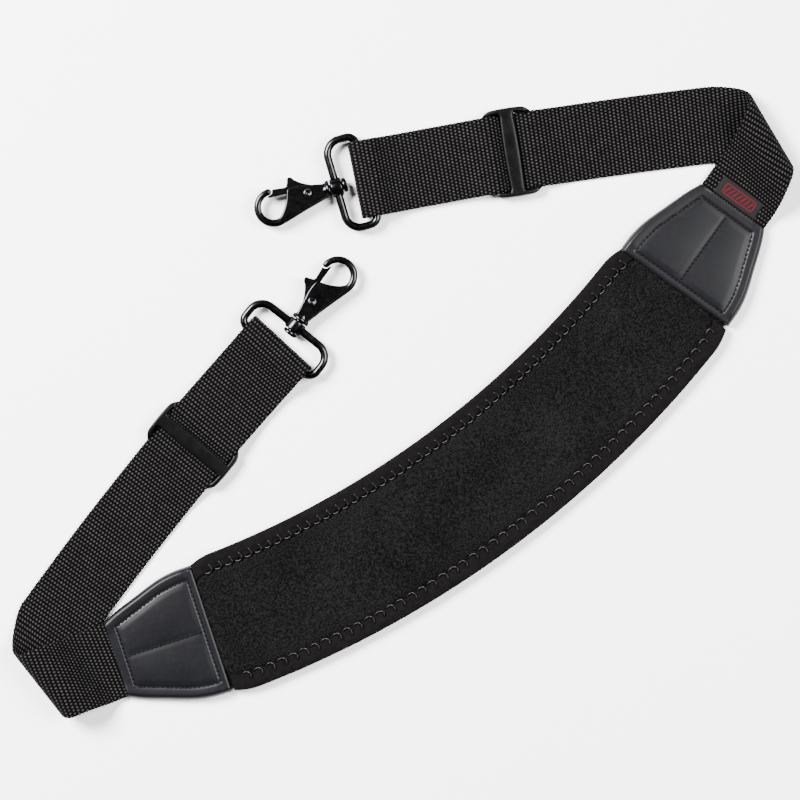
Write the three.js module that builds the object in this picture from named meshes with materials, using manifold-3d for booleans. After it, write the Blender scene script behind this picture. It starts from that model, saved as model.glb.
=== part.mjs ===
// Camera neck strap, lying flat: a curved padded shoulder section between two sewn end caps, two
// webbing arms that fold back under themselves, and a slider, a ring and a swivelling trigger snap
// on each arm. Millimetres. +X runs along the pad's chord, +Y from the pad to the snaps, +Z up.
// The origin is in the middle of the pad's underside, which lies on the table at z = 0.
import * as THREE from 'three';
import { mergeVertices } from 'three/addons/utils/BufferGeometryUtils.js';
import Module from 'manifold-3d';

const wasm = await Module();
wasm.setup();

// Clearances
const gap = 0.3;
const cutMargin = 1;

// Shoulder pad and its edge tape
const padRadius = 500;
const padVisibleLength = 290;
const padWidth = 70.6;
const padThickness = 5.5;
const padMouthNarrowing = 2.8;
const padNarrowingLength = 13;
const padTuckDepth = 14;
const padEndThickness = 3.7;
const padSideClearance = 1;
const padRiseLength = 22;
const tapeWidth = 8;
const tapeThickness = 1;
const tapeCorner = 0.7;

// End caps
const capLength = 49.4;
const capMouthWidth = 66;
const capMouthHeight = 7.6;
const capEndHeight = 5.6;
const capWall = 1.2;
const capSideWall = 1.5;
const capBorder = 6.5;
const capTurn = 1.4;
const capSlitLength = 5.5;
// Shares of the cap's length and of half its mouth width
const capOutline = [
  { along: 0, halfWidth: 1 },
  { along: 0.16, halfWidth: 0.998 },
  { along: 0.3, halfWidth: 0.97 },
  { along: 0.43, halfWidth: 0.918 },
  { along: 0.61, halfWidth: 0.823 },
  { along: 0.86, halfWidth: 0.69 },
  { along: 1, halfWidth: 0.595 },
];

// Webbing
const webWidth = 38.5;
const webThickness = 1.7;
const webTuckDepth = 14;
const webCapRest = 1.75;
const webAcross = 4;
const labelWidth = 24.5;
const labelLength = 9.6;
const labelThickness = 0.7;
const labelOffset = 0.9;
const labelSeat = 0.45;

// Folds: the webbing leaves the cap level, climbs a ramp, rolls over and comes back on the table
const foldLevelLength = 8;
const foldEaseLength = 10;
const foldStep = 0.25;

// Sliders
const sliderLength = 27;
const sliderSideClearance = 0.5;
const sliderRailWidth = 2.45;
const sliderWidth = webWidth + 2 * (sliderSideClearance + sliderRailWidth);
const sliderCorner = 3.2;
const sliderRailHeight = 6.3;
const sliderBarThickness = 2;
const sliderEndBarWidth = 4;
const sliderCentreBarWidth = 6.3;
const sliderCentreBarBow = 0.7;
const sliderRailBow = 0.6;
const sliderLift = 0.2;
const sliderTailPast = 5;
// The webbing's ramps before and behind a slider, in shares of half its length
const rampFoot = 2;
const rampMiddle = 1.5;
const backRampFoot = 2.3;
const backRampMiddle = 1.6;
const rampMiddleShare = 0.4;

// Rings
const wireDiameter = 3.9;
const ringSideClearance = 1.35;
const ringWidth = webWidth + 2 * (ringSideClearance + wireDiameter);
const ringLength = 19.3;
const ringFrontRadius = 7.5;
const ringRearRadius = 4.2;
const ringHeight = 4.9;
const ringSides = 8;
const loopSlack = 0.45;
const loopReach = 5.9;
const hubRadius = 4.6;
const hubLength = 5.8;
// The webbing's rise to the ring's bar: distances behind the loop's middle and behind the bar
const loopRampFoot = 24;
const loopRampMiddle = 14;
const loopRampRise = 1.6;
const loopPlateau = 4.8;

// Trigger snaps
const studRadius = 2.1;
const studEndRadius = 3.7;
const studEndLength = 2.2;
const neckFlangeRadius = 4.6;
const neckFlangeLength = 2;
const neckRadius = 3.4;
const snapLength = 42.6;
const bowDiameter = 19.6;
const bowWire = 3.7;
const bowSides = 8;
const cheekHeight = 6.8;
const leverSlot = 3.6;
const leverThickness = 3;
const pivotAlong = 14.6;
const pivotAside = 0.9;
const pivotDiameter = 2.4;
const rivetHeadDiameter = 4.7;
const rivetHeadHeight = 0.8;
const rivetRim = 0.3;
const rivetCrown = 0.6;
const bowCentreAside = -0.7;
const noseAngle = 103;
const spineAngle = -103;
const footTurn = -12;
const bowRoot = 1.12;
const bowTip = 0.9;
const leverTipBack = 2.4;
const leverTabHeight = 10.9;
const leverSweep = 6;
// The lever's outline from its pivot: shares of its reach and of its thumb tab's height, and the way
// that a point moves when the outline is widened. A lean is the point that a curved side bends to.
const leverOutline = [
  { along: 1, aside: 0.394, widenX: 0.3, widenY: -1 },
  { along: 1.025, aside: 0.541, widenX: 1, widenY: 0.5 },
  { along: 0.911, aside: 0.587, widenX: 1, widenY: 1 },
  { along: 0.861, aside: 0.688, widenX: 0, widenY: 1 },
  { along: 0.57, aside: 0.633, widenX: 0, widenY: 1 },
  { along: 0.506, aside: 0.67, widenX: 0, widenY: 1 },
  { along: 0.316, aside: 0.954, widenX: 0, widenY: 1 },
  { along: 0.203, aside: 0.917, widenX: 0, widenY: 1, leanAlong: 0.253, leanAside: 1 },
  { along: -0.165, aside: 0.404, widenX: -1, widenY: 0, leanAlong: 0.152, leanAside: 0.642 },
  { along: -0.076, aside: -0.275, widenX: 0, widenY: -1, leanAlong: -0.253, leanAside: 0 },
  { along: 0.278, aside: -0.092, widenX: 0, widenY: -1, leanAlong: 0.127, leanAside: -0.367 },
  { along: 0.57, aside: 0.303, widenX: 0, widenY: -1 },
];
// The cheeks' outline: shares of the snap's length and of the bow's radius
const cheekOutline = [
  { along: 0.113, aside: 0.4 },
  { along: 0.437, aside: 0.893 },
  { along: 0.521, aside: 0.742, leanAlong: 0.498, leanAside: 0.994 },
  { along: 0.574, aside: 0.327 },
  { along: 0.649, aside: -0.717, leanAlong: 0.597, leanAside: -0.289 },
  { along: 0.672, aside: -1.088 },
  { along: 0.113, aside: -0.377 },
];

// The two arms, each in its own frame with the pad's end on its left. Angles in degrees: how far the
// webbing turns as it leaves the cap, the line that it folds about, the ramp into the fold, the bend
// from the fold to the ring, and the ring's turn in its loop. Lengths: the fold's sideways drift, and
// the slider and the loop's end along the arm from where the fold ends. The drift starts at a share
// of the turn.
const arms = [
  {
    side: 'right', mirror: 1, leave: 0, foldAxis: 84.3, rampAngle: 45, drift: 10.5, driftFrom: 0.1,
    bend: 4.6, sliderAt: 87, ringAt: 166.4, ringTurn: 5, flipped: true, label: true,
  },
  {
    side: 'left', mirror: -1, leave: -4, foldAxis: 88.2, rampAngle: 47, drift: 12.5, driftFrom: 0.4,
    bend: 6.6, sliderAt: 98.4, ringAt: 167, ringTurn: 3.5, flipped: false, label: false,
  },
];

const materials = {
  neoprene: new THREE.MeshStandardMaterial({ color: 0x0b0b0c, roughness: 0.95 }),
  tape: new THREE.MeshStandardMaterial({ color: 0x14110f, roughness: 0.9 }),
  vinyl: new THREE.MeshStandardMaterial({ color: 0x26272b, roughness: 0.45 }),
  webbing: new THREE.MeshStandardMaterial({ color: 0x161413, roughness: 0.9 }),
  label: new THREE.MeshStandardMaterial({ color: 0x2b2a2b, roughness: 0.9 }),
  plastic: new THREE.MeshStandardMaterial({ color: 0x101011, roughness: 0.55 }),
  metal: new THREE.MeshStandardMaterial({ color: 0x0a0a0c, roughness: 0.25, metalness: 0.9 }),
  rivet: new THREE.MeshStandardMaterial({ color: 0x3a3a3e, roughness: 0.3, metalness: 0.9 }),
};

// Shape helpers

const radians = THREE.MathUtils.degToRad;
const mix = THREE.MathUtils.lerp;
const smooth = (value) => THREE.MathUtils.smoothstep(value, 0, 1);

// A turn that starts and ends gently, from 0 to 1
const gentle = (value) => {
  const t = THREE.MathUtils.clamp(value, 0, 1);
  return t - Math.sin(2 * Math.PI * t) / (2 * Math.PI);
};

const range = (count) => Array.from({ length: count }, (_, index) => index);

// A closed body through a row of loops of points. The row ends in flat lids or joins its start.
function skin(loops, joined = false) {
  const count = loops[0].length;
  const points = loops.flat();
  const index = [];
  const rows = joined ? loops.length : loops.length - 1;
  for (let row = 0; row < rows; row += 1) {
    const here = row * count;
    const there = ((row + 1) % loops.length) * count;
    for (let k = 0; k < count; k += 1) {
      const next = (k + 1) % count;
      index.push(here + k, here + next, there + next, here + k, there + next, there + k);
    }
  }
  if (!joined) {
    const last = (loops.length - 1) * count;
    for (const [a, b, c] of lid(loops[0])) {
      index.push(c, b, a);
    }
    for (const [a, b, c] of lid(loops[loops.length - 1])) {
      index.push(last + a, last + b, last + c);
    }
  }
  return bodyOf(points, index);
}

// Triangles over a flat loop, wound the same way as the loop
function lid(loop) {
  const normal = new THREE.Vector3();
  loop.forEach((point, k) => normal.add(point.clone().cross(loop[(k + 1) % loop.length])));
  normal.normalize();
  const side = loop[1].clone().sub(loop[0]).normalize();
  const up = normal.clone().cross(side);
  const flat = loop.map((point) => new THREE.Vector2(point.dot(side), point.dot(up)));
  return THREE.ShapeUtils.triangulateShape(flat, []);
}

// A geometry of shared points, turned inside out if its faces point in
function bodyOf(points, index) {
  let volume = 0;
  for (let k = 0; k < index.length; k += 3) {
    const [a, b, c] = [points[index[k]], points[index[k + 1]], points[index[k + 2]]];
    volume += a.dot(b.clone().cross(c));
  }
  const geometry = new THREE.BufferGeometry();
  geometry.setAttribute(
    'position',
    new THREE.Float32BufferAttribute(points.flatMap((point) => point.toArray()), 3),
  );
  geometry.setIndex(volume > 0 ? index : index.slice().reverse());
  return geometry;
}

function solidOf(geometry) {
  const bare = geometry.index ? geometry.clone() : geometry;
  bare.deleteAttribute('normal');
  bare.deleteAttribute('uv');
  const merged = mergeVertices(bare, 1e-4);
  return new wasm.Manifold(new wasm.Mesh({
    numProp: 3,
    vertProperties: new Float32Array(merged.attributes.position.array),
    triVerts: new Uint32Array(merged.index.array),
  }));
}

function geometryOf(solid) {
  const mesh = solid.getMesh();
  const geometry = new THREE.BufferGeometry();
  geometry.setAttribute('position', new THREE.Float32BufferAttribute(mesh.vertProperties, 3));
  geometry.setIndex(Array.from(mesh.triVerts));
  return geometry;
}

const joined = (parts) => parts.map(solidOf).reduce((whole, part) => whole.add(part));
const cutFrom = (whole, cuts) => cuts.map(solidOf).reduce((rest, cut) => rest.subtract(cut), whole);

// A box between two corners
function block(low, high) {
  const size = high.map((value, k) => value - low[k]);
  const geometry = new THREE.BoxGeometry(...size);
  return geometry.translate(...low.map((value, k) => value + size[k] / 2));
}

// A cylinder along X from one place to another
function rod(radius, from, to, sides = 20) {
  const geometry = new THREE.CylinderGeometry(radius, radius, to - from, sides);
  return geometry.rotateZ(Math.PI / 2).translate((from + to) / 2, 0, 0);
}

// An outline in the XY plane given a thickness, centred on z = 0
function plate(shape, thickness, curveSegments = 6) {
  const geometry = new THREE.ExtrudeGeometry(shape, {
    depth: thickness, bevelEnabled: false, curveSegments,
  });
  return geometry.translate(0, 0, -thickness / 2);
}

// Reads a table of shares along one named column, for another named column
function readTable(table, at, from, wanted) {
  const found = table.findIndex((row) => row[from] >= at);
  if (found <= 0) {
    return table[found === 0 ? 0 : table.length - 1][wanted];
  }
  const [low, high] = [table[found - 1], table[found]];
  return mix(low[wanted], high[wanted], (at - low[from]) / (high[from] - low[from]));
}

// Shoulder pad: sections across an arc in the plane of the table

const padMouth = padVisibleLength / 2;
const padEnd = padMouth + padTuckDepth;
const capHalfMouth = capMouthWidth / 2;
const capPadRest = capWall + gap;

const capHalfWidth = (along) => capHalfMouth * readTable(
  capOutline, along / capLength, 'along', 'halfWidth',
);
const capHeight = (along) => mix(capMouthHeight, capEndHeight, smooth(along / capLength));

// Height of the pad's underside, half its width and its thickness at a distance from its middle
function padAt(distance) {
  const inside = distance - padMouth;
  const rise = smooth((inside + padRiseLength) / padRiseLength);
  const narrowing = THREE.MathUtils.clamp(1 + inside / padNarrowingLength, 0, 1);
  const free = padWidth / 2 - padMouthNarrowing * narrowing ** 2;
  const held = capHalfWidth(Math.max(inside, 0)) - capSideWall - padSideClearance + tapeThickness + gap;
  return {
    bottom: capPadRest * rise,
    thickness: mix(padThickness, padEndThickness, rise),
    halfWidth: inside < 0 ? free : Math.min(free, held),
  };
}

// A point of the pad's own frame: distance along the arc, across it and up
function onPad(distance, across, up) {
  const angle = distance / padRadius;
  const radius = padRadius - across;
  return new THREE.Vector3(radius * Math.sin(angle), padRadius - radius * Math.cos(angle), up);
}

// Distances of the sections: even along the arc and closer where the pad narrows
function padStations(end) {
  const even = 7;
  const close = 4;
  const start = padMouth - padRiseLength;
  const half = [
    ...range(even).map((k) => (k + 0.5) * (start / even)),
    ...range(close + 1).map((k) => mix(start, Math.min(end, padMouth - gap), k / close)),
  ];
  if (end > padMouth) {
    half.push(padMouth + padTuckDepth / 2, end);
  }
  return [...half.map((value) => -value).reverse(), ...half];
}

function padGeometry() {
  const loops = padStations(padEnd).map((distance) => {
    const { bottom, thickness, halfWidth } = padAt(Math.abs(distance));
    const top = bottom + thickness;
    const full = halfWidth - tapeWidth - gap;
    const rim = halfWidth - tapeThickness - gap;
    const step = tapeThickness + gap;
    const half = [
      [full, bottom], [full, bottom + step], [rim, bottom + step],
      [rim, top - step], [full, top - step], [full, top],
    ];
    const other = half.map(([across, up]) => [-across, up]).reverse();
    return [...half, ...other].map(([across, up]) => onPad(distance, across, up));
  });
  return skin(loops);
}

function tapeGeometry(side) {
  const end = padMouth - gap - capHalfMouth * Math.sin(radians(capTurn));
  const loops = padStations(end).map((distance) => {
    const { bottom, thickness, halfWidth } = padAt(Math.abs(distance));
    const top = bottom + thickness;
    const inner = halfWidth - tapeWidth;
    const wall = halfWidth - tapeThickness;
    const section = [
      [inner, bottom], [halfWidth - tapeCorner, bottom], [halfWidth, bottom + tapeCorner],
      [halfWidth, top - tapeCorner], [halfWidth - tapeCorner, top], [inner, top],
      [inner, top - tapeThickness], [wall, top - tapeThickness],
      [wall, bottom + tapeThickness], [inner, bottom + tapeThickness],
    ];
    return section.map(([across, up]) => onPad(distance, side * across, up));
  });
  return skin(loops);
}

// End caps: a flat sleeve, in its own frame with the pad's side at x = 0 and +X towards the webbing

const capSections = 9;
// Shares of the half width and of the height, from the middle to the edge of the top
const capPanel = [
  { across: 0, height: 0.9 },
  { across: 0.1, height: 0.98 },
  { across: 0.45, height: 1 },
];

function capSection(along, wall, sideWall) {
  const halfWidth = capHalfWidth(along);
  const height = capHeight(along);
  const border = height * 0.82;
  const top = [
    ...capPanel.map((row) => [row.across * halfWidth, row.height * height]),
    [halfWidth - capBorder, border],
    [halfWidth - capWall, border],
    [halfWidth, border - capWall],
    [halfWidth, capWall],
    [halfWidth - capWall, 0],
  ];
  const half = [...top.slice(1)];
  const other = half.map(([across, up]) => [-across, up]).reverse();
  const inward = (halfWidth - sideWall) / halfWidth;
  const upward = (height - 2 * wall) / height;
  return [top[0], ...half, ...other].map(([across, up]) => (
    new THREE.Vector3(along, across * inward, wall + up * upward)
  ));
}

function capGeometry() {
  const places = range(capSections).map((k) => (k / (capSections - 1)) * capLength);
  const outer = places.map((along) => capSection(along, 0, 0));
  const inner = places.map((along) => capSection(along, capWall, capSideWall)).reverse();
  const sleeve = solidOf(skin([...outer, ...inner], true));
  const slit = block(
    [capLength - capSlitLength, -capHalfMouth, webCapRest - gap],
    [capLength + cutMargin, capHalfMouth, webCapRest + webThickness + gap],
  );
  return geometryOf(cutFrom(sleeve, [slit]));
}

const capAngle = padMouth / padRadius + radians(capTurn);
const capPlace = onPad(padMouth, 0, 0);
const capEnd = capPlace.clone().add(
  new THREE.Vector3(Math.cos(capAngle), Math.sin(capAngle), 0).multiplyScalar(capLength),
);

// Webbing arms

// The side view of a fold: reach and height against the distance travelled square to its axis
function foldProfile(arm) {
  const climb = radians(arm.rampAngle);
  const turn = Math.PI + climb;
  const turnStart = foldLevelLength + foldEaseLength;
  const heading = (travel) => climb * gentle((travel - foldLevelLength) / foldEaseLength);
  const rows = [{ travel: 0, reach: 0, height: webCapRest + webThickness / 2 }];
  const walk = (angle) => {
    const last = rows[rows.length - 1];
    rows.push({
      travel: last.travel + foldStep,
      reach: last.reach + Math.cos(angle) * foldStep,
      height: last.height + Math.sin(angle) * foldStep,
    });
  };
  while (rows[rows.length - 1].travel < turnStart) {
    walk(heading(rows[rows.length - 1].travel));
  }
  const samples = 400;
  const fall = range(samples).reduce((sum, k) => (
    sum - Math.sin(climb - turn * gentle((k + 0.5) / samples)) / samples
  ), 0);
  const turnLength = (rows[rows.length - 1].height - webThickness / 2) / fall;
  const turnEnd = turnStart + turnLength;
  while (rows[rows.length - 1].travel < turnEnd) {
    const travel = rows[rows.length - 1].travel;
    walk(climb - turn * gentle((travel + foldStep / 2 - turnStart) / turnLength));
  }
  return { rows, turnStart, turnLength, turnEnd };
}

// Everything that places a point of one arm
function armFrame(arm) {
  const profile = foldProfile(arm);
  const axis = radians(arm.foldAxis);
  const along = new THREE.Vector2(Math.cos(axis), Math.sin(axis));
  const square = new THREE.Vector2(Math.sin(axis), -Math.cos(axis));
  const leaving = capAngle + radians(arm.leave);
  const start = new THREE.Vector2(Math.cos(leaving), Math.sin(leaving));
  const straight = (profile.turnEnd + webWidth / 2) / start.dot(square);
  const curve = radians(arm.bend) / arm.ringAt;

  // The middle line and its heading in the plane of the unfolded webbing
  const unfolded = (distance) => {
    const past = Math.max(distance - straight, 0);
    const turned = -curve * past;
    const chord = past === 0 ? 0 : past * (Math.sin(turned / 2) / (turned / 2));
    const from = start.clone().multiplyScalar(distance - past);
    const bent = start.clone().rotateAround(new THREE.Vector2(), turned / 2);
    return {
      point: from.add(bent.multiplyScalar(chord)),
      heading: start.clone().rotateAround(new THREE.Vector2(), turned),
    };
  };

  // A point of the folded webbing's middle surface, lifted by an extra height
  const place = (distance, across, lift = 0) => {
    const { point, heading } = unfolded(distance);
    point.add(new THREE.Vector2(-heading.y, heading.x).multiplyScalar(across));
    const travel = point.dot(square);
    const turned = (travel - profile.turnStart) / profile.turnLength;
    const drifted = smooth((turned - arm.driftFrom) / (1 - arm.driftFrom));
    const sideways = point.dot(along) + arm.drift * drifted;
    const last = profile.rows[profile.rows.length - 1];
    let reach = travel;
    let height = profile.rows[0].height;
    if (travel >= last.travel) {
      reach = last.reach - (travel - last.travel);
      height = webThickness / 2;
    } else if (travel > 0) {
      const k = Math.floor(travel / foldStep);
      const t = travel / foldStep - k;
      const [low, high] = [profile.rows[k], profile.rows[Math.min(k + 1, profile.rows.length - 1)]];
      reach = mix(low.reach, high.reach, t);
      height = mix(low.height, high.height, t);
    }
    return new THREE.Vector3(
      capEnd.x + reach * square.x + sideways * along.x,
      capEnd.y + reach * square.y + sideways * along.y,
      height + lift,
    );
  };
  return { place, foldEnd: straight, profile };
}

// Heights of the webbing's middle along the arm: over, under and over the slider's bars, round the
// ring's bar and back beneath. Each row is a distance along the arm and a height of the middle.
function armRoute(arm, frame) {
  const low = webThickness / 2;
  const second = low + webThickness + gap;
  const overBar = sliderLift + sliderBarThickness + gap + low;
  const overBoth = overBar + webThickness + gap;
  const outer = sliderLength / 2 + gap;
  const inner = sliderLength / 2 - sliderEndBarWidth - gap;
  const under = sliderCentreBarWidth / 2 + sliderCentreBarBow + gap;
  const slider = frame.foldEnd + arm.sliderAt;
  const end = frame.foldEnd + arm.ringAt;
  const loop = wireDiameter / 2 + loopSlack + low;
  const centre = end - loop - low;
  const barPlace = end - loopReach;
  const points = [
    [slider - rampFoot * outer, low],
    [slider - rampMiddle * outer, mix(low, overBar, rampMiddleShare)],
    [slider - outer, overBar], [slider - inner, overBar],
    [slider - under, second], [slider + under, second],
    [slider + inner, overBoth], [slider + outer, overBoth],
    [slider + backRampMiddle * outer, mix(second, overBoth, rampMiddleShare)],
    [slider + backRampFoot * outer, second],
    [centre - loopRampFoot, second], [centre - loopRampMiddle, second + loopRampRise],
    [barPlace - loopPlateau, ringHeight + loop], [barPlace, ringHeight + loop],
  ];
  const turns = 6;
  range(turns + 1).forEach((k) => {
    const angle = Math.PI / 2 - (k / turns) * Math.PI;
    points.push([centre + loop * Math.cos(angle), ringHeight + loop * Math.sin(angle)]);
  });
  points.push(
    [barPlace - loopPlateau, ringHeight - loop], [centre - loopRampMiddle, low],
    [centre - loopRampFoot, low], [slider + backRampFoot * outer, low],
    [slider + backRampMiddle * outer, mix(low, overBar, rampMiddleShare)],
    [slider + outer, overBar], [slider + inner, overBar],
    [slider + under, low], [slider - sliderTailPast, low],
  );
  return points;
}

// Stations along the label, which the webbing beneath it shares
const labelStations = () => range(5).map((k) => (
  { distance: labelOffset + (k / 4) * labelLength, lift: 0 }
));

// Stations along the whole webbing: distance along the arm, and lift above the folded surface
function webStations(arm, frame) {
  const low = webThickness / 2;
  const foldCount = 27;
  const tucked = [-webTuckDepth, 0].map((distance) => ({ distance, lift: 0 }));
  const stations = [...tucked, ...labelStations()];
  range(foldCount).forEach((k) => {
    const distance = mix(labelOffset + labelLength, frame.foldEnd, (k + 1) / foldCount);
    stations.push({ distance, lift: 0 });
  });
  const route = armRoute(arm, frame).map(([along, height]) => new THREE.Vector3(along, height, 0));
  const curve = new THREE.CatmullRomCurve3(route, false, 'centripetal');
  const fine = 58;
  curve.arcLengthDivisions = 600;
  curve.getSpacedPoints(fine).forEach((point) => {
    stations.push({ distance: point.x, lift: point.y - low });
  });
  return stations;
}

// A solid of the webbing's thickness, or of a patch on it, through stations along an arm
function ribbon(frame, stations, width, inside, outside) {
  const shares = range(webAcross + 1).map((k) => k / webAcross - 0.5);
  const middle = stations.map(({ distance, lift }) => (
    shares.map((share) => frame.place(distance, share * width, lift))
  ));
  const loops = middle.map((row, k) => {
    const before = middle[Math.max(k - 1, 0)];
    const after = middle[Math.min(k + 1, middle.length - 1)];
    const normals = row.map((point, j) => {
      const forward = after[j].clone().sub(before[j]);
      const across = row[Math.min(j + 1, webAcross)].clone().sub(row[Math.max(j - 1, 0)]);
      return forward.cross(across).normalize();
    });
    const level = (height) => row.map((point, j) => (
      point.clone().addScaledVector(normals[j], height)
    ));
    return [...level(inside), ...level(outside).reverse()];
  });
  return skin(loops);
}

function webGeometry(arm, frame) {
  return ribbon(
    frame, webStations(arm, frame), webWidth, -webThickness / 2, webThickness / 2,
  );
}

function labelGeometry(frame) {
  const seat = webThickness / 2 + labelSeat;
  return ribbon(frame, labelStations(), labelWidth, seat, seat + labelThickness);
}

// Slider, in its own frame with +X along the webbing

function roundedOutline(length, width, corner, bow) {
  const shape = new THREE.Shape();
  const [x, y] = [length / 2, width / 2];
  shape.moveTo(-x + corner, -y);
  shape.quadraticCurveTo(0, -y - 2 * bow, x - corner, -y);
  shape.quadraticCurveTo(x, -y, x, -y + corner);
  shape.lineTo(x, y - corner);
  shape.quadraticCurveTo(x, y, x - corner, y);
  shape.quadraticCurveTo(0, y + 2 * bow, -x + corner, y);
  shape.quadraticCurveTo(-x, y, -x, y - corner);
  shape.lineTo(-x, -y + corner);
  shape.quadraticCurveTo(-x, -y, -x + corner, -y);
  return shape;
}

function sliderGeometry() {
  const inner = webWidth / 2 + sliderSideClearance;
  const window = sliderLength / 2 - sliderEndBarWidth;
  const barTop = sliderLift + sliderBarThickness;
  const centreBottom = 2 * webThickness + 2 * gap;
  const frame = plate(
    roundedOutline(sliderLength, sliderWidth - 2 * sliderRailBow, sliderCorner, sliderRailBow),
    sliderRailHeight - sliderLift,
  ).translate(0, 0, (sliderRailHeight + sliderLift) / 2);
  const cuts = [-1, 1].flatMap((side) => {
    const edge = sliderCentreBarWidth / 2;
    const opening = new THREE.Shape();
    opening.moveTo(side * edge, -inner);
    opening.quadraticCurveTo(side * (edge + 2 * sliderCentreBarBow), 0, side * edge, inner);
    opening.lineTo(side * window, inner);
    opening.lineTo(side * window, -inner);
    const over = new THREE.Shape();
    over.moveTo(side * edge, -inner);
    over.quadraticCurveTo(side * (edge + 2 * sliderCentreBarBow), 0, side * edge, inner);
    over.lineTo(side * sliderLength, inner);
    over.lineTo(side * sliderLength, -inner);
    return [
      plate(opening, 4 * sliderRailHeight),
      plate(over, sliderRailHeight).translate(0, 0, barTop + sliderRailHeight / 2),
    ];
  });
  cuts.push(block([-window, -inner, -cutMargin], [window, inner, centreBottom]));
  return geometryOf(cutFrom(solidOf(frame), cuts));
}

// Ring, in its own frame: the hub on the origin, +X towards the snap, the hinge bar behind

const ringBack = wireDiameter - ringLength;

function ringLoop() {
  const half = (ringWidth - wireDiameter) / 2;
  const corners = [
    { x: 0, y: half, radius: ringFrontRadius, from: 0 },
    { x: ringBack, y: half, radius: ringRearRadius, from: 90 },
    { x: ringBack, y: -half, radius: ringRearRadius, from: 180 },
    { x: 0, y: -half, radius: ringFrontRadius, from: 270 },
  ];
  const steps = 5;
  return corners.flatMap(({ x, y, radius, from }) => {
    const centre = new THREE.Vector2(x - Math.sign(x + 1) * radius, y - Math.sign(y) * radius);
    return range(steps + 1).map((k) => {
      const angle = radians(from + (90 * k) / steps);
      const out = new THREE.Vector3(Math.cos(angle), Math.sin(angle), 0);
      return { point: new THREE.Vector3(centre.x, centre.y, 0).addScaledVector(out, radius), out };
    });
  });
}

// A round wire through places that each name their outward direction in the XY plane
function wire(places, radii, sides, closed) {
  const loops = places.map(({ point, out }, index) => range(sides).map((k) => {
    const angle = (2 * Math.PI * (k + 0.5)) / sides;
    return point.clone()
      .addScaledVector(out, radii(index) * Math.cos(angle))
      .add(new THREE.Vector3(0, 0, radii(index) * Math.sin(angle)));
  }));
  return skin(loops, closed);
}

function ringGeometry() {
  const body = joined([
    wire(ringLoop(), () => wireDiameter / 2, ringSides, true),
    rod(hubRadius, -hubLength / 2, hubLength / 2),
  ]);
  return geometryOf(cutFrom(body, [rod(studRadius + gap, -hubLength, hubLength)]));
}

// Trigger snap, in its own frame: the ring's hub on the origin, +X to the tip, thumb tab on +Y

const bowRadius = (bowDiameter - bowWire) / 2;
const bowCentre = new THREE.Vector2(snapLength - bowDiameter / 2, bowCentreAside);
const neckStart = hubLength / 2 + gap;
const neckEnd = neckStart + neckFlangeLength;
const pivot = new THREE.Vector2(pivotAlong, pivotAside);

// The spine from the neck to the bow, and the bow round to its nose
function bowPlaces() {
  const onBow = (degrees) => {
    const angle = radians(degrees);
    const out = new THREE.Vector3(Math.cos(angle), Math.sin(angle), 0);
    return { point: new THREE.Vector3(bowCentre.x, bowCentre.y, 0).addScaledVector(out, bowRadius), out };
  };
  const arc = range(15).map((k) => onBow(mix(spineAngle, noseAngle, k / 14)));
  const out = new THREE.Vector3(Math.sin(radians(footTurn)), -Math.cos(radians(footTurn)), 0);
  const foot = { point: new THREE.Vector3(neckEnd, -neckRadius + bowWire / 2, 0), out };
  return [foot, ...arc];
}

// An outline through rows of places; a row with a lean is reached along a curve that bends to it
function outlineThrough(rows, place) {
  const shape = new THREE.Shape();
  rows.forEach((row, index) => {
    const [x, y] = place(row, row.along, row.aside);
    if (index === 0) {
      shape.moveTo(x, y);
    } else if (row.leanAlong === undefined) {
      shape.lineTo(x, y);
    } else {
      const lean = place(row, row.leanAlong, row.leanAside);
      shape.quadraticCurveTo(...lean, x, y);
    }
  });
  return shape;
}

function leverShape(grow = 0) {
  const reach = bowCentre.x - pivot.x - leverTipBack;
  return outlineThrough(leverOutline, (row, along, aside) => [
    pivot.x + along * reach + row.widenX * grow,
    pivot.y + aside * leverTabHeight + row.widenY * grow,
  ]);
}

// The rivet's hole through the cheeks and the lever
function pivotBore() {
  const radius = pivotDiameter / 2 + gap;
  const bore = new THREE.CylinderGeometry(radius, radius, 2 * cheekHeight, 16);
  return bore.rotateX(Math.PI / 2).translate(pivot.x, pivot.y, 0);
}

const cheekShape = () => outlineThrough(cheekOutline, (row, along, aside) => [
  along * snapLength, aside * bowRadius,
]);

function snapGeometry() {
  const wireRadius = bowWire / 2;
  const places = bowPlaces();
  const radii = (index) => wireRadius * mix(bowRoot, bowTip, index / (places.length - 1));
  const body = joined([
    wire(places, radii, bowSides, false),
    plate(cheekShape(), cheekHeight),
    rod(neckRadius, neckEnd - 0.5, neckEnd + 2.5),
    rod(neckFlangeRadius, neckStart, neckEnd),
    rod(studRadius, -neckStart - 0.5, neckStart + 0.5),
    rod(studEndRadius, -neckStart - studEndLength, -neckStart),
  ]);
  const spine = new THREE.Shape();
  const slotEnd = bowCentre.x + bowRadius - 3;
  spine.moveTo(neckEnd + 1.6, -neckRadius + bowWire * 0.8);
  spine.lineTo(pivot.x + 4, bowCentre.y - bowRadius + bowWire * 1.05);
  spine.lineTo(slotEnd, bowCentre.y - bowRadius + bowWire * 0.9);
  spine.lineTo(slotEnd, bowCentre.y + bowRadius - bowWire * 0.95);
  spine.lineTo(pivot.x + 10, pivot.y + 12);
  spine.lineTo(neckEnd + 1.6, pivot.y + 12);
  const swings = [0, leverSweep / 2, leverSweep].map((degrees) => {
    const sweep = plate(leverShape(gap), leverSlot);
    return sweep.translate(-pivot.x, -pivot.y, 0).rotateZ(-radians(degrees))
      .translate(pivot.x, pivot.y, 0);
  });
  return geometryOf(cutFrom(body, [plate(spine, leverSlot), ...swings, pivotBore()]));
}

function leverGeometry() {
  return geometryOf(cutFrom(solidOf(plate(leverShape(), leverThickness)), [pivotBore()]));
}

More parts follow.
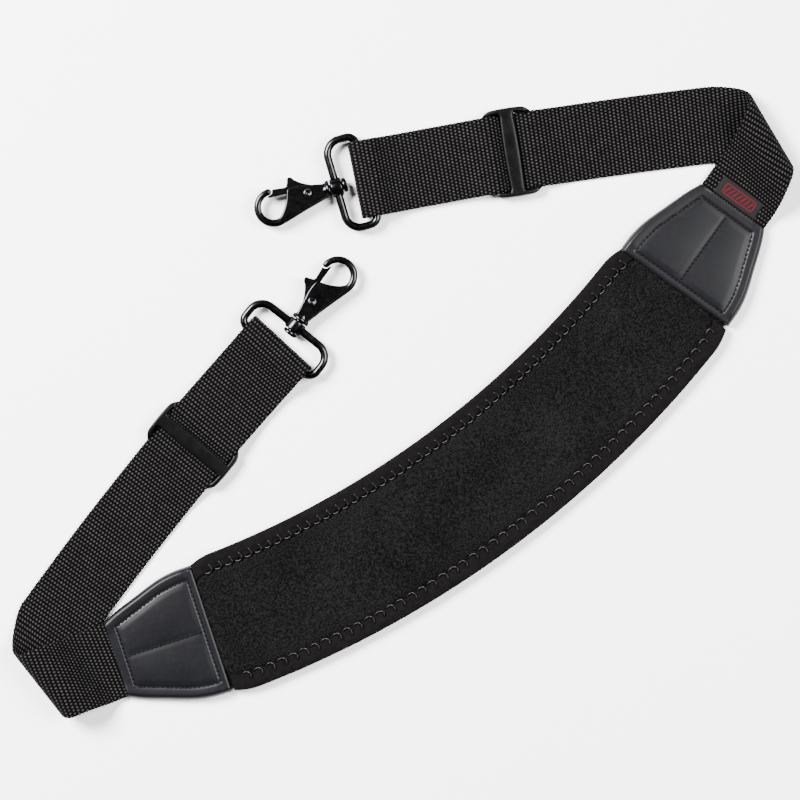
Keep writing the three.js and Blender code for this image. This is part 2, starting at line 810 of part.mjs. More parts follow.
function rivetGeometry() {
  const [pin, head] = [pivotDiameter / 2, rivetHeadDiameter / 2];
  const seat = cheekHeight / 2 + gap;
  const top = seat + rivetHeadHeight;
  const profile = [
    [0, -top], [rivetCrown * head, -top], [head, -seat - rivetRim], [head, -seat], [pin, -seat],
    [pin, seat], [head, seat], [head, seat + rivetRim], [rivetCrown * head, top], [0, top],
  ].map(([x, y]) => new THREE.Vector2(x, y));
  return new THREE.LatheGeometry(profile, 16).rotateX(Math.PI / 2).translate(pivot.x, pivot.y, 0);
}

// Assembly

const strap = new THREE.Group();

function piece(name, geometry, material, parent = strap) {
  const mesh = new THREE.Mesh(geometry, material);
  mesh.name = name;
  parent.add(mesh);
  return mesh;
}

// The same body on the other side of the strap
function mirrored(geometry) {
  const points = geometry.attributes.position.clone();
  for (let k = 0; k < points.count; k += 1) {
    points.setX(k, -points.getX(k));
  }
  const copy = new THREE.BufferGeometry();
  copy.setAttribute('position', points);
  copy.setIndex(Array.from(geometry.index.array).reverse());
  return copy;
}

// A group on the arm's middle line that heads along it, or turned a little from it
function groupOnArm(arm, frame, distance, height, turn = 0) {
  const here = frame.place(distance, 0);
  const ahead = frame.place(distance + 1, 0).sub(here);
  const group = new THREE.Group();
  group.position.set(arm.mirror * here.x, here.y, height);
  group.rotation.z = Math.atan2(ahead.y, arm.mirror * ahead.x) + radians(turn);
  strap.add(group);
  return group;
}

piece('pad', padGeometry(), materials.neoprene);
piece('binding_inner', tapeGeometry(1), materials.tape);
piece('binding_outer', tapeGeometry(-1), materials.tape);

for (const arm of arms) {
  const frame = armFrame(arm);
  const sided = (geometry) => (arm.mirror > 0 ? geometry : mirrored(geometry));

  const cap = capGeometry().rotateZ(capAngle).translate(capPlace.x, capPlace.y, 0);
  piece(`cap_${arm.side}`, sided(cap), materials.vinyl);
  piece(`webbing_${arm.side}`, sided(webGeometry(arm, frame)), materials.webbing);
  if (arm.label) {
    piece('label_tag', sided(labelGeometry(frame)), materials.label);
  }

  const sliderGroup = groupOnArm(arm, frame, frame.foldEnd + arm.sliderAt, 0);
  piece(`slider_${arm.side}`, sliderGeometry(), materials.plastic, sliderGroup);

  const hingeAt = frame.foldEnd + arm.ringAt - loopReach;
  const hingeGroup = groupOnArm(arm, frame, hingeAt, ringHeight, arm.ringTurn);
  const ringGroup = new THREE.Group();
  ringGroup.position.x = -ringBack;
  hingeGroup.add(ringGroup);
  piece(`ring_${arm.side}`, ringGeometry(), materials.metal, ringGroup);
  const snapGroup = new THREE.Group();
  snapGroup.rotation.x = arm.flipped ? Math.PI : 0;
  ringGroup.add(snapGroup);
  piece(`snap_${arm.side}`, snapGeometry(), materials.metal, snapGroup);
  piece(`gate_${arm.side}`, leverGeometry(), materials.metal, snapGroup);
  piece(`rivet_${arm.side}`, rivetGeometry(), materials.rivet, snapGroup);
}

export default strap;
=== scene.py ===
"""Looks of a camera neck strap that lies flat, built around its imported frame.

Every length is in millimetres until a mesh is made, which is in metres. +X runs along the pad's
chord, +Y from the pad to the snaps and +Z up from the table.
"""

import logging
import math
from dataclasses import dataclass, field, replace
from enum import Enum
from functools import cached_property

import bpy
import numpy as np
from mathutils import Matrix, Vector


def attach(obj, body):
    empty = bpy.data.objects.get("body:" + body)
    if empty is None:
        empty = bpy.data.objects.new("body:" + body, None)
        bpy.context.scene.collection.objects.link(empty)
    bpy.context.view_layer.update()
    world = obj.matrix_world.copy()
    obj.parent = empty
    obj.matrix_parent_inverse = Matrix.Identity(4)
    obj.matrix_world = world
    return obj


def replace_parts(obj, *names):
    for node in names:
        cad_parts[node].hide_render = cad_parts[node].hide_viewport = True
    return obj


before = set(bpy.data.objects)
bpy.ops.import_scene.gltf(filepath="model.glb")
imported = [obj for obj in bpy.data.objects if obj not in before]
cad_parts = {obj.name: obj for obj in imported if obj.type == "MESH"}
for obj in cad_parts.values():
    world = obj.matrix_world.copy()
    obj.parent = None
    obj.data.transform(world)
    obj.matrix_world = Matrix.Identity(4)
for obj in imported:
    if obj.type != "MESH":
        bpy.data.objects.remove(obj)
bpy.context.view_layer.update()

LOG = logging.getLogger("strap")
METRE = 0.001
PATTERN = "pattern"
TURN = 2 * math.pi
DOT_PITCH = 1.68
ROW_PITCH = 2.0


# Shader tools


class Signal:
    """A number socket that adds Math nodes when it stands in an expression."""

    def __init__(self, bench: "Bench", socket: bpy.types.NodeSocket) -> None:
        """Keeps the socket and the bench that its nodes are added to."""
        self.bench = bench
        self.socket = socket

    def _with(self, operation: str, *values: "Signal | float") -> "Signal":
        """Adds one Math node.

        Args:
            operation: The node's operation.
            values: What goes into its inputs, in order.

        Returns:
            The node's output.
        """
        settings, inputs = {"operation": operation}, dict(enumerate(values))
        return Signal(self.bench, self.bench.node("ShaderNodeMath", settings, inputs).outputs[0])

    def __add__(self, other: "Signal | float") -> "Signal":
        """The sum."""
        return self._with("ADD", self, other)

    __radd__ = __add__

    def __mul__(self, other: "Signal | float") -> "Signal":
        """The product."""
        return self._with("MULTIPLY", self, other)

    __rmul__ = __mul__

    def __sub__(self, other: "Signal | float") -> "Signal":
        """The difference."""
        return self._with("SUBTRACT", self, other)

    def __rsub__(self, other: "Signal | float") -> "Signal":
        """The difference, taken from the other value."""
        return self._with("SUBTRACT", other, self)

    def __truediv__(self, other: "Signal | float") -> "Signal":
        """The ratio."""
        return self._with("DIVIDE", self, other)

    def __pow__(self, other: "Signal | float") -> "Signal":
        """The power."""
        return self._with("POWER", self, other)

    def __gt__(self, other: "Signal | float") -> "Signal":
        """One where this is the greater."""
        return self._with("GREATER_THAN", self, other)

    def __lt__(self, other: "Signal | float") -> "Signal":
        """One where this is the smaller."""
        return self._with("LESS_THAN", self, other)

    def __abs__(self) -> "Signal":
        """The distance from nought."""
        return self._with("ABSOLUTE", self)

    def floor(self) -> "Signal":
        """The whole number below."""
        return self._with("FLOOR", self)

    def wave(self) -> "Signal":
        """A cosine of whole turns, brought to the range from 0 to 1."""
        return self._with("COSINE", self * TURN) * 0.5 + 0.5

    def top(self, other: "Signal | float") -> "Signal":
        """The greater of the two."""
        return self._with("MAXIMUM", self, other)


@dataclass
class Bench:
    """One material's node tree, and the few ways in which nodes are added to it."""

    tree: bpy.types.NodeTree

    def node(
        self,
        kind: str,
        settings: "dict[str, object] | None" = None,
        inputs: "dict[int | str, object] | None" = None,
    ) -> bpy.types.Node:
        """Adds a node.

        Args:
            kind: The node's type.
            settings: Its settings, or a ramp's stops, which are set first.
            inputs: The value or the link of each socket.

        Returns:
            The node.
        """
        node = self.tree.nodes.new(kind)
        for name, value in (settings or {}).items():
            setattr(node, name, value)
        for key, value in (inputs or {}).items():
            if isinstance(value, Signal):
                value = value.socket
            if isinstance(value, bpy.types.NodeSocket):
                self.tree.links.new(value, node.inputs[key])
            else:
                node.inputs[key].default_value = value
        return node

    def blend(
        self,
        factor: "Signal | float",
        low: "tuple | bpy.types.NodeSocket",
        high: "tuple | bpy.types.NodeSocket",
    ) -> bpy.types.NodeSocket:
        """A colour between two others.

        Args:
            factor: Nought for the first and one for the second.
            low: The first colour.
            high: The second colour.

        Returns:
            The colour's socket.
        """
        inputs = {0: factor, 6: low, 7: high}
        return self.node("ShaderNodeMix", {"data_type": "RGBA"}, inputs).outputs[2]

    def noise(self, per_mm: float, detail: float) -> Signal:
        """Smooth noise over the object's own coordinates.

        Args:
            per_mm: How many of its lumps lie in a millimetre.
            detail: How many finer layers it has.

        Returns:
            A value around a half.
        """
        place = self.node("ShaderNodeTexCoord").outputs["Object"]
        inputs = {"Vector": place, "Scale": per_mm / METRE, "Detail": detail}
        return Signal(self, self.node("ShaderNodeTexNoise", None, inputs).outputs[0])

    def grains(self, per_mm: float) -> Signal:
        """Distance to the nearest of many scattered grains, over the object's own coordinates.

        Args:
            per_mm: How many grains lie in a millimetre.

        Returns:
            The distance, in widths of a grain.
        """
        place = self.node("ShaderNodeTexCoord").outputs["Object"]
        inputs = {"Vector": place, "Scale": per_mm / METRE}
        return Signal(self, self.node("ShaderNodeTexVoronoi", None, inputs).outputs[0])

    def pattern(self) -> "tuple[Signal, Signal]":
        """The piece's own pattern coordinates, in millimetres across and along it.

        Returns:
            The place across and the place along.
        """
        place = self.node("ShaderNodeUVMap", {"uv_map": PATTERN}).outputs[0]
        parts = self.node("ShaderNodeSeparateXYZ", None, {0: place}).outputs
        return Signal(self, parts[0]), Signal(self, parts[1])

    def relief(self, height: Signal, depth: float, strength: float) -> bpy.types.NodeSocket:
        """A bumped normal.

        Args:
            height: The height, where one is the full depth.
            depth: The full depth in millimetres.
            strength: How much of it is felt.

        Returns:
            The normal's socket.
        """
        inputs = {"Height": height, "Distance": depth * METRE, "Strength": strength}
        return self.node("ShaderNodeBump", None, inputs).outputs[0]


@dataclass(frozen=True)
class Finish:
    """A finish: the material slot that it belongs to and its constant sockets."""

    name: str
    slot: str
    colour: tuple = (0.02, 0.02, 0.02)
    roughness: float = 0.6
    metallic: float = 0.0
    specular: float = 0.5
    edge: float = 1.0

    def vary(self, bench: Bench) -> "dict[str, object]":
        """What changes over the surface, as sockets of the main shader."""
        return {}

    def material(self) -> bpy.types.Material:
        """The finish as a material, made once.

        Returns:
            The material.
        """
        made = bpy.data.materials.get(self.name)
        if made:
            return made
        made = bpy.data.materials.new(self.name)
        made.use_nodes = True
        made.node_tree.nodes.clear()
        bench = Bench(made.node_tree)
        inputs = {
            "Base Color": (*self.colour, 1),
            "Roughness": self.roughness,
            "Metallic": self.metallic,
            "Specular IOR Level": self.specular,
            "Specular Tint": (self.edge, self.edge, self.edge, 1),
        }
        inputs.update(self.vary(bench))
        shader = bench.node("ShaderNodeBsdfPrincipled", None, inputs)
        bench.node("ShaderNodeOutputMaterial", None, {0: shader.outputs[0]})
        return made


def tint(colour: tuple, share: float) -> tuple:
    """A colour made lighter or darker, with full opacity."""
    return (*(min(1.0, channel * share) for channel in colour), 1.0)


@dataclass(frozen=True)
class Knit(Finish):
    """Matte neoprene faced with a fine jersey knit, its loops in short rows along the pad."""

    pitch: float = 0.62

    def vary(self, bench: Bench) -> "dict[str, object]":
        """Small loops in offset rows, softened by fuzz and slow patches of wear.

        Args:
            bench: The bench that the nodes are added to.

        Returns:
            The link of each socket that varies.
        """
        across, along = bench.pattern()
        row = (across / self.pitch + 0.5).floor()
        loops = (along / self.pitch + row * 0.5).wave() * (across / self.pitch).wave()
        fuzz = bench.noise(1.25, 4.0)
        patches = bench.noise(0.03, 3.0)
        tone = loops * 0.3 + fuzz * 3.0 + patches * 0.6 - 1.55
        return {
            "Base Color": bench.blend(tone, tint(self.colour, 0.25), tint(self.colour, 2.2)),
            "Roughness": fuzz * 0.1 + (self.roughness - 0.05),
            "Normal": bench.relief(loops * 0.6 + fuzz * 0.8, 0.14, 0.55),
        }


@dataclass(frozen=True)
class Ribbed(Finish):
    """A folded woven tape with fine ribs across it and a soft fuzz."""

    pitch: float = 0.7

    def vary(self, bench: Bench) -> "dict[str, object]":
        """Ribs across the tape, crossed by a finer yarn, with brownish worn patches, and painted
        light and shade that follows the creases.

        Args:
            bench: The bench that the nodes are added to.

        Returns:
            The link of each socket that varies.
        """
        across, along = bench.pattern()
        ribs = (along / self.pitch).wave()
        yarn = (across / (self.pitch * 0.6)).wave()
        fuzz = bench.noise(1.2, 4.0)
        creases_and_painted_shade = bench.noise(0.32, 2.0)
        patches = bench.noise(0.06, 3.0)
        # Painted light and shade: the colour follows the creases' height, lighter on their tops and
        # darker in their hollows, on top of their bump.
        tone = ribs * 0.3 + yarn * 0.2 + fuzz * 1.6 + creases_and_painted_shade * 1.8 + patches * 0.4 - 1.6
        return {
            "Base Color": bench.blend(tone, tint(self.colour, 0.45), tint(self.colour, 1.6)),
            "Roughness": fuzz * 0.12 + (self.roughness - 0.06),
            "Normal": bench.relief(ribs * 0.3 + yarn * 0.2 + fuzz * 0.8 + creases_and_painted_shade * 7.0, 0.14, 0.7),
        }


@dataclass(frozen=True)
class Weave(Finish):
    """Heavy webbing: rows of plump yarn dots, every second row shifted by half a dot."""

    across_pitch: float = DOT_PITCH
    along_pitch: float = ROW_PITCH
    # The colour of the painted highlight on the crests of the dots.
    highlight_colour: tuple = (0.05, 0.0465, 0.0465)

    def vary(self, bench: Bench) -> "dict[str, object]":
        """The dots get a painted highlight at their crests and are deep and dark between the rows,
        where none is painted.

        Args:
            bench: The bench that the nodes are added to.

        Returns:
            The link of each socket that varies.
        """
        across, along = bench.pattern()
        row = (along / self.along_pitch + 0.5).floor()
        ridge = (along / self.along_pitch).wave()
        dots = (across / self.across_pitch + row * 0.5).wave()
        height = (ridge ** 0.55) * (dots * 0.62 + 0.38)
        strands = ((across * 0.8 + along) / 0.42).wave()
        uneven = bench.noise(0.35, 3.0)
        fuzz = bench.noise(2.6, 3.0)
        # Painted highlight: the colour is lightened towards the crests of the dots, most where the
        # noise and the strands are high, so it stays dark between the rows.
        painted_highlight = (height ** 3.6) * (uneven * 1.3 + 0.15) * (strands * 0.35 + 0.65)
        return {
            "Base Color": bench.blend(painted_highlight, tint(self.colour, 1.0), (*self.highlight_colour, 1.0)),
            "Roughness": self.roughness - painted_highlight * 0.22,
            "Normal": bench.relief(height + strands * 0.08 + fuzz * 0.12, 0.42, 0.8),
        }


@dataclass(frozen=True)
class Vinyl(Finish):
    """Smooth semi-gloss vinyl with a shallow grain, slow dents and rubbed high spots."""

    def vary(self, bench: Bench) -> "dict[str, object]":
        """Shallow pebbles over slow dents, and a few faint scuffs.

        Args:
            bench: The bench that the nodes are added to.

        Returns:
            The link of each socket that varies.
        """
        pebbles = bench.grains(1.1)
        dents = bench.noise(0.07, 1.0)
        scuffs = bench.noise(0.5, 6.0) ** 5.0
        tone = dents + scuffs
        return {
            "Base Color": bench.blend(tone, tint(self.colour, 0.85), tint(self.colour, 1.15)),
            "Roughness": dents * 0.06 + scuffs * 0.4 + (self.roughness - 0.04),
            "Normal": bench.relief(pebbles * 0.3 + dents * 2.0, 0.06, 0.25),
        }


@dataclass(frozen=True)
class Twist(Finish):
    """Sewing thread, its plies wound round it."""

    pitch: float = 0.5

    def vary(self, bench: Bench) -> "dict[str, object]":
        """Slanted plies along the thread.

        Args:
            bench: The bench that the nodes are added to.

        Returns:
            The link of each socket that varies.
        """
        across, along = bench.pattern()
        plies = ((along + across) / self.pitch).wave()
        return {
            "Base Color": bench.blend(plies, tint(self.colour, 0.5), tint(self.colour, 1.5)),
            "Roughness": self.roughness - plies * 0.1,
            "Normal": bench.relief(plies, 0.1, 0.6),
        }


@dataclass(frozen=True)
class Moulded(Finish):
    """Satin moulded plastic with a fine spark-eroded grain and rubbed spots."""

    def vary(self, bench: Bench) -> "dict[str, object]":
        """Fine grain under slow rubbed spots.

        Args:
            bench: The bench that the nodes are added to.

        Returns:
            The link of each socket that varies.
        """
        grain = bench.noise(4.0, 2.0)
        rubbed = bench.noise(0.16, 4.0)
        return {
            "Base Color": bench.blend(rubbed, tint(self.colour, 0.6), tint(self.colour, 1.7)),
            "Roughness": rubbed * 0.22 + grain * 0.06 + (self.roughness - 0.14),
            "Normal": bench.relief(grain, 0.03, 0.5),
        }


@dataclass(frozen=True)
class Plated(Finish):
    """Glossy dark plating over cast metal, faintly uneven, with hairline scratches."""

    def vary(self, bench: Bench) -> "dict[str, object]":
        """Slow unevenness of the casting, and scratches in the gloss.

        Args:
            bench: The bench that the nodes are added to.

        Returns:
            The link of each socket that varies.
        """
        cast = bench.noise(0.25, 3.0)
        hairs = bench.noise(3.0, 5.0) ** 5.0
        return {
            "Base Color": bench.blend(cast, tint(self.colour, 0.7), tint(self.colour, 1.5)),
            "Roughness": hairs * 1.6 + cast * 0.1 + (self.roughness - 0.06),
            "Normal": bench.relief(cast, 0.1, 0.15),
        }


@dataclass(frozen=True)
class Tag(Finish):
    """A woven tag with a plain border and a row of slanted bars, both in one accent colour."""

    accent: tuple = (0.055, 0.005, 0.008)
    half_width: float = 9.2
    half_length: float = 2.9
    corner: float = 1.3
    line: float = 0.36
    bar_pitch: float = 2.3
    bar_slant: float = 0.45
    bar_margin: tuple = (1.3, 1.2)
    thread_pitch: float = 0.36
    yarn_pitch: float = 0.5

    def vary(self, bench: Bench) -> "dict[str, object]":
        """The border is a band just inside a rounded rectangle, and the bars fill what it leaves.

        The distance past the rectangle is the length of the two distances past its straight sides,
        less the corners' radius.

        Args:
            bench: The bench that the nodes are added to.

        Returns:
            The link of each socket that varies.
        """
        across, along = bench.pattern()
        past_x = (abs(across) - (self.half_width - self.corner)).top(0.0)
        past_y = (abs(along) - (self.half_length - self.corner)).top(0.0)
        past = (past_x ** 2.0 + past_y ** 2.0) ** 0.5 - self.corner
        border = (abs(past + self.line) < self.line) * 1.0
        within_x = abs(across) < self.half_width - self.bar_margin[0]
        within_y = abs(along) < self.half_length - self.bar_margin[1]
        slanted = (across + along * self.bar_slant) / self.bar_pitch
        bars = (slanted.wave() > 0.55) * (within_x * within_y)
        row = along / self.thread_pitch
        threads = row.wave()
        yarn = (across / self.yarn_pitch + (row + 0.5).floor() * 0.5).wave()
        fuzz = bench.noise(1.6, 3.0)
        thick, thin = threads * 0.5 + fuzz * 0.6, yarn * 0.6 + fuzz * 0.3
        plain = bench.blend(thick, tint(self.colour, 0.5), tint(self.colour, 1.4))
        bright = bench.blend(thin, tint(self.accent, 0.5), tint(self.accent, 1.3))
        drawn = border.top(bars)
        return {
            "Base Color": bench.blend(drawn, plain, bright),
            "Roughness": fuzz * 0.1 + (self.roughness - 0.05),
            "Normal": bench.relief(threads * 0.4 + yarn * 0.4 + drawn * 0.9, 0.12, 0.6),
        }


class Finishes(Enum):
    """The finishes of the strap, by where they are used."""

    NEOPRENE = Knit("neoprene_knit", "neoprene", (0.0032, 0.0032, 0.0032), 0.95, specular=0.02)
    TAPE = Ribbed("edge_tape_weave", "edge_tape", (0.0016, 0.0013, 0.0013), 0.85, specular=0.05)
    TAPE_THREAD = Twist("edge_thread", "edge_tape", (0.0021, 0.0018, 0.0018), 0.45, specular=0.13)
    VINYL = Vinyl("cap_vinyl_grain", "cap_vinyl", (0.0025, 0.0025, 0.0033), 0.4, specular=0.12)
    CAP_THREAD = Twist("cap_thread", "cap_vinyl", (0.0013, 0.0013, 0.0016), 0.5, specular=0.09)
    WEBBING = Weave("webbing_weave", "webbing", (0.0005, 0.0004, 0.0004), 0.8, specular=0.02)
    LABEL = Tag("tag_weave", "label", (0.0075, 0.0066, 0.007), 0.85, specular=0.05)
    PLASTIC = Moulded(
        "slider_moulding", "slider_plastic", (0.0008, 0.0008, 0.0008), 0.34, specular=0.08)
    METAL = Plated(
        "black_plating", "black_metal", (0.021, 0.021, 0.0225), 0.15, metallic=1, edge=0.16)
    RIVET = Plated("rivet_plating", "rivet_steel", (0.04, 0.04, 0.043), 0.16, metallic=1, edge=0.3)


# Mesh tools


@dataclass
class Shell:
    """Grids of points gathered into one closed mesh, with pattern coordinates at each corner."""

    points: "list[np.ndarray]" = field(default_factory=list)
    faces: "list[list[int]]" = field(default_factory=list)
    corners: "list[np.ndarray]" = field(default_factory=list)
    count: int = 0

    def add(
        self,
        grid: np.ndarray,
        pattern: "np.ndarray | None" = None,
        loop: bool = False,
    ) -> None:
        """Adds a tube of rings, whose last ring joins the first or whose ends get flat faces.

        Args:
            grid: Rings of points, as rows by columns by 3.
            pattern: Pattern coordinates, with one column more than the grid, and one row more
                where the rings close.
            loop: Whether the last ring joins the first.
        """
        rows, columns = grid.shape[:2]
        index = np.arange(rows * columns).reshape(rows, columns)
        wide = np.concatenate([index, index[:, :1]], axis=1)
        full = np.concatenate([wide, wide[:1]], axis=0) if loop else wide
        quads = self._corners(full)
        flat = np.zeros((*full.shape, 2)) if pattern is None else pattern
        places = self._corners(flat).reshape(-1, 4, 2)
        points = grid.reshape(-1, 3)
        ends = [] if loop else [index[0][::-1], index[-1]]
        if self._volume(points, quads, ends) < 0:
            quads, places = quads[:, ::-1], places[:, ::-1]
            ends = [end[::-1] for end in ends]
        self.faces += (quads + self.count).tolist() + [(end + self.count).tolist() for end in ends]
        self.corners += [places.reshape(-1, 2)] + [np.zeros((columns, 2)) for _ in ends]
        self.points.append(points)
        self.count += len(points)

    @staticmethod
    def _corners(table: np.ndarray) -> np.ndarray:
        """The four corners of each cell of a table, in order round the cell.

        Args:
            table: One entry for each point of a grid.

        Returns:
            Four entries for each cell.
        """
        cells = [table[:-1, :-1], table[:-1, 1:], table[1:, 1:], table[1:, :-1]]
        stacked = np.stack(cells, axis=2)
        return stacked.reshape(-1, *stacked.shape[2:])

    @staticmethod
    def _volume(points: np.ndarray, quads: np.ndarray, ends: "list[np.ndarray]") -> float:
        """Six times the volume inside the faces, negative where they point in.

        Args:
            points: The points.
            quads: The corners of each face.
            ends: The corners of each lid.

        Returns:
            The volume times six.
        """
        fans = [quads[:, [0, 1, 2]], quads[:, [0, 2, 3]]]
        for end in ends:
            fans.append(np.stack([np.full(len(end) - 2, end[0]), end[1:-1], end[2:]], axis=1))
        corners = points[np.concatenate(fans)]
        return float(np.einsum("ij,ij->", corners[:, 0], np.cross(corners[:, 1], corners[:, 2])))

    def piece(
        self, name: str, finish: Finishes, body: str, sharp: float = 40.0
    ) -> bpy.types.Object:
        """Makes the mesh and its object, dresses it and lets it ride.

        Args:
            name: The piece's name.
            finish: Its finish.
            body: The body that it rides on.
            sharp: Edges sharper than this many degrees stay sharp.

        Returns:
            The object.
        """
        mesh = bpy.data.meshes.new(name)
        mesh.from_pydata(np.concatenate(self.points) * METRE, [], self.faces)
        layer = mesh.uv_layers.new(name=PATTERN)
        layer.data.foreach_set("uv", np.concatenate(self.corners).ravel())
        mesh.polygons.foreach_set("use_smooth", np.ones(len(mesh.polygons), dtype=bool))
        mesh.set_sharp_from_angle(angle=math.radians(sharp))
        mesh.materials.append(finish.value.material())
        made = bpy.data.objects.new(name, mesh)
        bpy.context.scene.collection.objects.link(made)
        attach(made, body)
        LOG.info("%s: %d faces on %s", name, len(mesh.polygons), body)
        return made


def smooth(value: np.ndarray) -> np.ndarray:
    """An even ease from 0 to 1: three times the square less twice the cube."""
    t = np.clip(value, 0, 1)
    return t * t * (3 - 2 * t)


def gentle(value: np.ndarray) -> np.ndarray:
    """An ease from 0 to 1 that starts and ends gently: the value less a sine of one turn."""
    t = np.clip(value, 0, 1)
    return t - np.sin(TURN * t) / TURN


def hump(value: np.ndarray, middle: float, reach: float) -> np.ndarray:
    """A smooth hump of height 1 at the middle that is gone at the reach on either side."""
    return np.cos(np.clip((value - middle) / reach, -1, 1) * math.pi) * 0.5 + 0.5


def unit(vectors: np.ndarray) -> np.ndarray:
    """The vectors brought to length one."""
    return vectors / np.maximum(np.linalg.norm(vectors, axis=-1, keepdims=True), 1e-9)


def join(*parts: np.ndarray) -> np.ndarray:
    """Points made of their parts, which are brought to one shape first."""
    return np.stack(np.broadcast_arrays(*parts), axis=-1)


def oval(count: int, power: float = 2.0) -> np.ndarray:
    """A superellipse of half size 1: cosine and sine of each angle, raised to 2 over the power.

    Args:
        count: How many points it has.
        power: Two for an ellipse, and more for a squarer form.

    Returns:
        The points, in order round it.
    """
    angle = TURN * np.arange(count) / count
    both = join(np.cos(angle), np.sin(angle))
    return np.sign(both) * np.abs(both) ** (2 / power)


def resample(path: np.ndarray, count: int) -> np.ndarray:
    """Points evenly spaced along a line of points, which its length is shared between.

    Args:
        path: The line's points.
        count: How many points are wanted.

    Returns:
        The new points.
    """
    steps = np.linalg.norm(np.diff(path, axis=0), axis=1)
    length = np.concatenate([[0], np.cumsum(steps)])
    places = np.linspace(0, length[-1], count)
    return np.stack([np.interp(places, length, path[:, k]) for k in range(path.shape[1])], axis=1)


def spline(points: np.ndarray, per_span: int = 24) -> np.ndarray:
    """A smooth curve that goes through every one of some points.

    Each span is the cubic whose end slopes come from its neighbours, weighted by the fourth root
    of their squared distances, and the row goes on straight past both ends.

    Args:
        points: The points that it goes through.
        per_span: How many points it gets between two of them.

    Returns:
        The curve's points.
    """
    first, last = 2 * points[:1] - points[1:2], 2 * points[-1:] - points[-2:-1]
    row = np.concatenate([first, points, last])
    gaps = np.maximum(np.sum(np.diff(row, axis=0) ** 2, axis=1) ** 0.25, 1e-4)[:, None]
    p0, p1, p2, p3 = row[:-3], row[1:-2], row[2:-1], row[3:]
    d0, d1, d2 = gaps[:-2], gaps[1:-1], gaps[2:]
    leave = ((p1 - p0) / d0 - (p2 - p0) / (d0 + d1) + (p2 - p1) / d1) * d1
    reach = ((p2 - p1) / d1 - (p3 - p1) / (d1 + d2) + (p3 - p2) / d2) * d1
    t = (np.arange(per_span) / per_span)[None, :, None]
    p1, p2, leave, reach = (value[:, None, :] for value in (p1, p2, leave, reach))
    cubic = (2 * p1 - 2 * p2 + leave + reach) * t**3 + (3 * p2 - 3 * p1 - 2 * leave - reach) * t**2
    curve = (cubic + leave * t + p1).reshape(-1, points.shape[1])
    return np.concatenate([curve, points[-1:]])


def sweep(
    path: np.ndarray,
    section: np.ndarray,
    up: tuple = (0, 0, 1),
    closed: bool = False,
) -> np.ndarray:
    """Rings of a section carried along a path.

    At each point of the path the section's first axis points sideways, which is the up direction
    crossed with the heading, and its second axis is square to both.

    Args:
        path: The points of the path.
        section: The section, the same everywhere or one for each point.
        up: The direction that the section's second axis keeps to.
        closed: Whether the path closes.

    Returns:
        The rings, as rows by columns by 3.
    """
    if closed:
        heading = np.roll(path, -1, axis=0) - np.roll(path, 1, axis=0)
    else:
        heading = np.gradient(path, axis=0)
    heading = unit(heading)
    side = unit(np.cross(np.broadcast_to(up, heading.shape), heading))
    rise = np.cross(heading, side)
    rings = np.broadcast_to(section, (len(path), *section.shape[-2:]))
    return path[:, None] + rings[..., :1] * side[:, None] + rings[..., 1:] * rise[:, None]


def lathe(profile: np.ndarray, sides: int = 40) -> np.ndarray:
    """Rings about the X axis: each row of the profile is a place along it and a radius.

    Args:
        profile: The places and the radii, in order.
        sides: How many points a ring has.

    Returns:
        The rings, as rows by columns by 3.
    """
    circle = oval(sides)
    rings = np.zeros((len(profile), sides, 3))
    rings[..., 0] = profile[:, :1]
    rings[..., 1:] = profile[:, None, 1:] * circle[None]
    return rings


def slab(outline: np.ndarray, low: float, high: float, bevel: float, steps: int = 4) -> np.ndarray:
    """A plate with rounded edges, as rings from its underside to its top.

    Each ring is the outline moved inwards along its normals. The move follows a quarter circle at
    both edges, and it is held to most of the radius of the largest circle that touches the outline
    there from within, which is the squared distance to each other point over twice its share along
    the normal.

    Args:
        outline: The outline's points, in the XY plane.
        low: The height of the underside.
        high: The height of the top.
        bevel: The radius of the edges.
        steps: How many rings each edge gets.

    Returns:
        The rings, as rows by columns by 3.
    """
    heading = unit(np.roll(outline, -1, axis=0) - np.roll(outline, 1, axis=0))
    inward = join(-heading[:, 1], heading[:, 0])
    after = np.roll(outline, -1, axis=0)
    area = np.sum(outline[:, 0] * after[:, 1] - outline[:, 1] * after[:, 0])
    inward *= 1 if area > 0 else -1
    angle = np.linspace(0, math.pi / 2, steps)
    inset = np.concatenate([[bevel + 0.12], bevel * (1 - np.sin(angle))])
    rise = np.concatenate([[0], bevel * (1 - np.cos(angle))])
    span = outline[None] - outline[:, None]
    toward = np.einsum("ijk,ik->ij", span, inward)
    circle = np.sum(span**2, axis=2) / (2 * np.maximum(toward, 1e-6))
    room = np.where(toward > 1e-6, circle, np.inf).min(axis=1)
    insets = np.minimum(np.concatenate([inset, inset[::-1]])[:, None], 0.85 * room[None])
    heights = np.concatenate([low + rise, high - rise[::-1]])
    rings = np.zeros((len(insets), len(outline), 3))
    rings[..., :2] = outline[None] + insets[..., None] * inward[None]
    rings[..., 2] = heights[:, None]
    return rings


